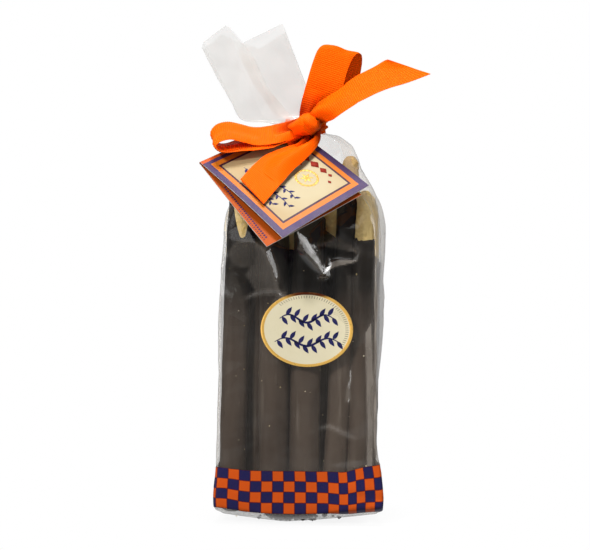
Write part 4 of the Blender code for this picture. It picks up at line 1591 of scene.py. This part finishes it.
def add_inlay(heap, to_spot, spine, thick=0.05):
    """A low raised stroke: spine lists (across, up, half breadth) and to_spot places them."""
    rings = []
    for k, (x, y, half) in enumerate(spine):
        ahead = spine[min(k + 1, len(spine) - 1)]
        behind = spine[max(k - 1, 0)]
        run = Vector((ahead[0] - behind[0], ahead[1] - behind[1])).normalized()
        side = Vector((-run.y, run.x)) * max(half, 0.01)
        rings.append([to_spot(x + side.x, y + side.y, 0.0), to_spot(x + side.x, y + side.y, thick),
                      to_spot(x - side.x, y - side.y, thick), to_spot(x - side.x, y - side.y, 0.0)])
    first = len(heap.points)
    heap.points += flat(rings)
    heap.faces += skin(rings, True, first)
    last = first + 4 * (len(rings) - 1)
    heap.faces += [(first + 3, first + 2, first + 1, first), (last, last + 1, last + 2, last + 3)]


def add_leaf(heap, to_spot, base, angle, length, breadth):
    spine = []
    for along, half in leaf_outline(length, breadth):
        spine.append((base[0] + math.cos(angle) * along, base[1] + math.sin(angle) * along, half))
    add_inlay(heap, to_spot, spine)


def add_sprig(heap, to_spot, start, length, wave, leaves, leaf_length, stroke=0.22):
    """A curling stem with a leaf at each bend."""
    stem = []
    for k in range(41):
        t = k / 40
        stem.append((start[0] + length * t, start[1] + wave * math.sin(2.0 * math.pi * t * 1.5),
                     stroke * (0.45 + math.sin(math.pi * t))))
    add_inlay(heap, to_spot, stem)
    for k in range(leaves):
        t = (k + 0.6) / leaves
        base = (start[0] + length * t, start[1] + wave * math.sin(2.0 * math.pi * t * 1.5))
        lean = 0.95 if k % 2 else -0.95
        add_leaf(heap, to_spot, base, lean, leaf_length, leaf_length * 0.42)


def add_lozenge(heap, to_spot, x, y, width, height):
    add_inlay(heap, to_spot, ((x - width / 2, y, 0.0), (x, y, height / 2), (x + width / 2, y, 0.0)))


def make_card(finishes, gilt, ink, red):
    make_leaf("card_front_leaf", front_corners(), 1.0, finishes)
    make_leaf("card_back_leaf", back_corners(), -0.5, [finishes[1], finishes[0], finishes[2]])
    make_fold(finishes[1])
    side = CARD_SIDE

    def on_front(x, y, lift):
        """x runs away from the fold and y runs up towards the punched corner."""
        return card_spot(1.0 - y / side, x / side, lift)

    wreath, sprigs = Heap(), Heap()
    centre, radius = Vector((45.0, 45.0)), 7.0
    for k in range(18):
        angle = 2 * math.pi * k / 18
        base = centre + Vector((math.cos(angle), math.sin(angle))) * radius
        add_leaf(wreath, on_front, base, angle + 1.9, 3.6, 1.7)
    for k in range(6):
        angle = 2 * math.pi * k / 6
        add_leaf(wreath, on_front, centre, angle, 4.2, 1.5)
    for row, length in ((27.0, 34.0), (19.5, 40.0), (12.5, 26.0)):
        add_sprig(sprigs, on_front, (centre.x - 8.0 - length / 2, row), length, 1.0, 12, 3.7, 0.34)
    lozenges = Heap()
    for x, y, size in ((32.0, 57.0, 6.0), (39.0, 57.5, 7.5), (46.0, 58.0, 6.0), (51.5, 58.3, 3.4),
                       (33.5, 50.5, 3.6), (55.5, 54.0, 3.0)):
        add_lozenge(lozenges, on_front, x, y, size, size * 0.8)

    def on_back(x, y, lift):
        """The same for the inside of the back leaf."""
        spot = leaf_point(back_corners(), 1.0 - y / side, x / side)
        bowed = -0.5 * leaf_bow(1.0 - y / side, x / side)
        return spot + card_normal() * (bowed + CARD_THICK / 2 + lift)

    border = Heap()
    for k in range(26):
        add_lozenge(border, on_back, 22.0 + 1.75 * k, 3.6, 1.4, 1.9)
        if k > 9:
            add_lozenge(border, on_back, 22.6 + 1.75 * k, 1.6, 0.9, 1.1)
    piece("card_wreath", wreath.points, wreath.faces, [gilt], "tag")
    piece("card_sprigs", sprigs.points, sprigs.faces, [ink], "tag")
    piece("card_lozenges", lozenges.points, lozenges.faces, [red], "tag")
    piece("card_border", border.points, border.faces, [ink], "tag")


# ------------------------------------------------------------------ the label
def make_label(cream, rim_gilt, ink, tick):
    (low_x, near, low_z), (high_x, far, high_z) = (corner / MM for corner in LABEL_BOX)
    centre = Vector(((low_x + high_x) / 2, (low_z + high_z) / 2))
    half = Vector(((high_x - low_x) / 2, (high_z - low_z) / 2))

    def ring_at(share, lift):
        return [Vector((centre.x + half.x * share * math.cos(a), far - lift,
                        centre.y + half.y * share * math.sin(a)))
                for a in (2 * math.pi * k / LABEL_TURNS for k in range(LABEL_TURNS))]

    plate = Heap()
    plate.add_tube([ring_at(share, 0.0) for share in (0.2, 0.6, 0.97)]
                   + [ring_at(share, LABEL_THICK * 0.55) for share in (0.97, 0.8, 0.5, 0.2)])
    inner = 1.0 - LABEL_RIM
    rim = Heap()
    profile = ((inner, 0.45), (inner + 0.012, 0.85), (inner + LABEL_RIM * 0.5, 1.0),
               (0.988, 0.85), (1.0, 0.4), (1.0, 0.0), (inner, 0.0), (inner, 0.45))
    rings = [ring_at(share, LABEL_THICK * lift) for share, lift in profile]
    rim.points += flat(rings)
    rim.faces += skin(rings)

    def on_label(x, y, lift):
        return Vector((centre.x + x, far - LABEL_THICK * 0.55 - lift, centre.y + y))

    marks = Heap()
    dashes = 96
    for k in range(-8, 36):
        angle = 2 * math.pi * k / dashes
        edge = Vector((math.cos(angle) * half.x, math.sin(angle) * half.y))
        start, end = edge * (inner - 0.088), edge * (inner - 0.018)
        add_inlay(marks, on_label, ((start.x, start.y, 0.17), (end.x, end.y, 0.17)))
    flourishes = Heap()
    for row, length, leaves in ((6.6, 33.0, 13), (-7.6, 39.0, 15)):
        add_sprig(flourishes, on_label, (-length / 2, row), length, 2.4, leaves, 6.0, 0.48)
    piece("label_plate", plate.points, plate.faces, [cream], "label", sharp=40.0)
    piece("label_rim", rim.points, rim.faces, [rim_gilt], "label", sharp=60.0)
    piece("label_dashes", marks.points, marks.faces, [tick], "label", sharp=40.0)
    piece("label_flourishes", flourishes.points, flourishes.faces, [ink], "label",
          sharp=40.0)


# ------------------------------------------------------------------ stage, light and camera
def make_floor():
    """A white floor: pure white to the eye away from the foot, with a soft shadow near it."""
    made, tree, shader = new_material("pale floor")
    place = place_of(tree)
    marks = effect(tree, "grain", {"Place": place, "Scale": 40.0})
    tree.links.new(tint(tree, marks["Mottle"], (0.86, 0.86, 0.86), (0.88, 0.88, 0.88)),
                   shader.inputs["Base Color"])
    set_sockets(shader, Roughness=0.8, Specular_IOR_Level=0.1)
    away = put(tree, "ShaderNodeVectorMath", {0: place}, operation="LENGTH").outputs["Value"]
    bare = ramp(tree, away, 0.030, 0.075, 0.88, 1.0)
    seen = put(tree, "ShaderNodeLightPath").outputs["Is Camera Ray"]
    white = put(tree, "ShaderNodeEmission", {"Color": (1.0, 1.0, 1.0, 1.0), "Strength": 1.0})
    dim = put(tree, "ShaderNodeBsdfDiffuse", {"Color": (0.22, 0.22, 0.22, 1.0)})
    paper = put(tree, "ShaderNodeMixShader", {0: bare, 1: shader.outputs[0], 2: white.outputs[0]})
    whole = put(tree, "ShaderNodeMixShader", {0: seen, 1: dim.outputs[0], 2: paper.outputs[0]})
    tree.links.new(whole.outputs[0], tree.nodes["Material Output"].inputs["Surface"])
    mesh = bpy.data.meshes.new("floor")
    reach = 4.0
    mesh.from_pydata([(-reach, -reach, 0), (reach, -reach, 0), (reach, reach, 0),
                      (-reach, reach, 0)], [], [(0, 1, 2, 3)])
    mesh.materials.append(made)
    floor = bpy.data.objects.new("floor", mesh)
    bpy.context.collection.objects.link(floor)
    floor.visible_glossy = False


def make_softbox(name, place, target, size, power, mirrored=True):
    light = bpy.data.lights.new(name, "AREA")
    light.shape = "RECTANGLE"
    light.size, light.size_y = size
    light.energy = power
    lamp = bpy.data.objects.new(name, light)
    bpy.context.collection.objects.link(lamp)
    lamp.location = place
    aim = Vector(target) - Vector(place)
    lamp.rotation_euler = aim.to_track_quat("-Z", "Y").to_euler()
    lamp.visible_glossy = mirrored


def make_world():
    """A white studio to the eye, and a plain gradient for what the film mirrors."""
    world = bpy.data.worlds.new("studio")
    world.use_nodes = True
    tree = world.node_tree
    back = tree.nodes["Background"]
    ray = put(tree, "ShaderNodeLightPath").outputs
    way = put(tree, "ShaderNodeTexCoord").outputs["Generated"]
    parts = put(tree, "ShaderNodeSeparateXYZ", {0: way}).outputs
    behind = ramp(tree, parts[1], -0.2, 0.9, 0.0, 1.0)
    above = ramp(tree, parts[2], 0.05, 0.8, 0.0, 1.0)
    floor_light = ramp(tree, parts[2], 0.22, 0.10, 0.0, 1.0)
    floor_light = figure(tree, "MULTIPLY", floor_light, figure(tree, "SUBTRACT", 1.0, behind))
    mirrored = figure(tree, "ADD", figure(tree, "MULTIPLY_ADD", behind, 0.30, 0.03),
                      figure(tree, "MULTIPLY", above, 0.20))
    mirrored = figure(tree, "ADD", mirrored, figure(tree, "MULTIPLY", floor_light, 0.10))
    near = put(tree, "ShaderNodeVectorMath", {0: way, 1: (-0.27, -0.74, 0.616)},
               operation="DOT_PRODUCT").outputs["Value"]
    mirrored = figure(tree, "MULTIPLY_ADD", ramp(tree, near, 0.94, 0.975), 0.8, mirrored)
    low_left = put(tree, "ShaderNodeVectorMath", {0: way, 1: (-0.704, -0.704, -0.087)},
                   operation="DOT_PRODUCT").outputs["Value"]
    mirrored = figure(tree, "MULTIPLY_ADD", ramp(tree, low_left, 0.93, 0.965), 2.6, mirrored)
    below = ramp(tree, parts[2], -0.12, -0.40, 0.0, 0.35)
    mirrored = figure(tree, "ADD", mirrored, below)
    other = figure(tree, "ADD", 0.07, figure(tree, "MULTIPLY", above, 0.10))
    seen = put(tree, "ShaderNodeMix", {0: ray["Is Glossy Ray"], 2: other, 3: mirrored}).outputs[0]
    seen = put(tree, "ShaderNodeMix", {0: ray["Is Camera Ray"], 2: seen, 3: 1.0}).outputs[0]
    tree.links.new(seen, back.inputs["Strength"])
    back.inputs["Color"].default_value = (1.0, 1.0, 1.0, 1.0)
    bpy.context.scene.world = world


def make_camera():
    azimuth, elevation, distance = math.radians(6.5), math.radians(5.0), 1.5
    target = Vector((-0.00425, 0.01262, 0.14885))
    away = Vector((math.sin(azimuth) * math.cos(elevation),
                   -math.cos(azimuth) * math.cos(elevation), math.sin(elevation)))
    data = bpy.data.cameras.new("camera")
    data.sensor_width = 36.0
    data.lens = 36.0 * distance / 0.3658
    camera = bpy.data.objects.new("camera", data)
    bpy.context.collection.objects.link(camera)
    camera.location = target + away * distance
    camera.rotation_euler = (-away).to_track_quat("-Z", "Y").to_euler()
    bpy.context.scene.camera = camera


def make_stage():
    make_floor()
    make_world()
    make_softbox("key_softbox", (-0.456, -1.253, 1.016), (0.0, 0.0, 0.15), (0.20, 0.20), 17.5,
                 mirrored=False)
    make_softbox("left_softbox", (-1.5, -0.75, 0.65), (0.0, 0.0, 0.15), (0.5, 0.9), 3.0)
    make_softbox("right_softbox", (1.25, -0.80, 0.70), (0.0, 0.0, 0.15), (0.5, 0.9), 4.5)
    make_softbox("top_softbox", (0.05, -0.25, 1.6), (0.0, 0.0, 0.1), (0.6, 0.5), 27.0)
    make_camera()
    scene = bpy.context.scene
    scene.view_settings.view_transform = "Standard"
    scene.view_settings.look = "None"
    scene.cycles.transparent_max_bounces = 24


def remove_start_objects():
    """Takes away the cube, lamp and camera that a new file starts with."""
    for name in ("Cube", "Light", "Camera"):
        if name in bpy.data.objects:
            bpy.data.objects.remove(bpy.data.objects[name], do_unlink=True)


# ------------------------------------------------------------------ all of it
remove_start_objects()
LEVELS = bag_levels()
RELIEF = make_relief()
LABEL_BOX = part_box("label")
GROUPS = build_groups()

ribbon_finish = ribbon_material()
bread_finish = bread_material()
chocolate_finish = chocolate_material()
gilt_finish = plain_material("gilt", GILT, (0.98, 0.62, 0.16), 0.30, 500.0, 0.00003, 0.35)
ink_finish = plain_material("navy ink", NAVY_INK, (0.03, 0.026, 0.12), 0.45)
tick_finish = plain_material("brown ink", (0.26, 0.21, 0.13), (0.30, 0.25, 0.16), 0.5)
red_finish = plain_material("dark red ink", RED_INK, (0.24, 0.016, 0.006), 0.6)
label_finish = plain_material("label stock", LABEL_CREAM, (0.83, 0.75, 0.53), 0.5)
card_finishes = [card_face_material(),
                 plain_material("card inside", (0.40, 0.072, 0.006), (0.37, 0.066, 0.006), 0.6),
                 plain_material("card edge", PAPER, (0.80, 0.78, 0.73), 0.7)]

make_film_body(film_material("clear film", 0.002, 0.00010, folded=True, warm=0.72))
make_film_fan(film_material("gathered film", 0.33, 0.0004, 0.15, gleam=0.02))
make_check_band(check_material())
make_sticks(chocolate_finish, bread_finish)
make_crumbs(chocolate_finish, plain_material("dry crumb", DRY_CRUMB, CRUMB, 0.8))
make_ribbon(ribbon_finish)
make_card(card_finishes, gilt_finish, ink_finish, red_finish)
make_label(label_finish, rim_material(), ink_finish, tick_finish)
make_stage()
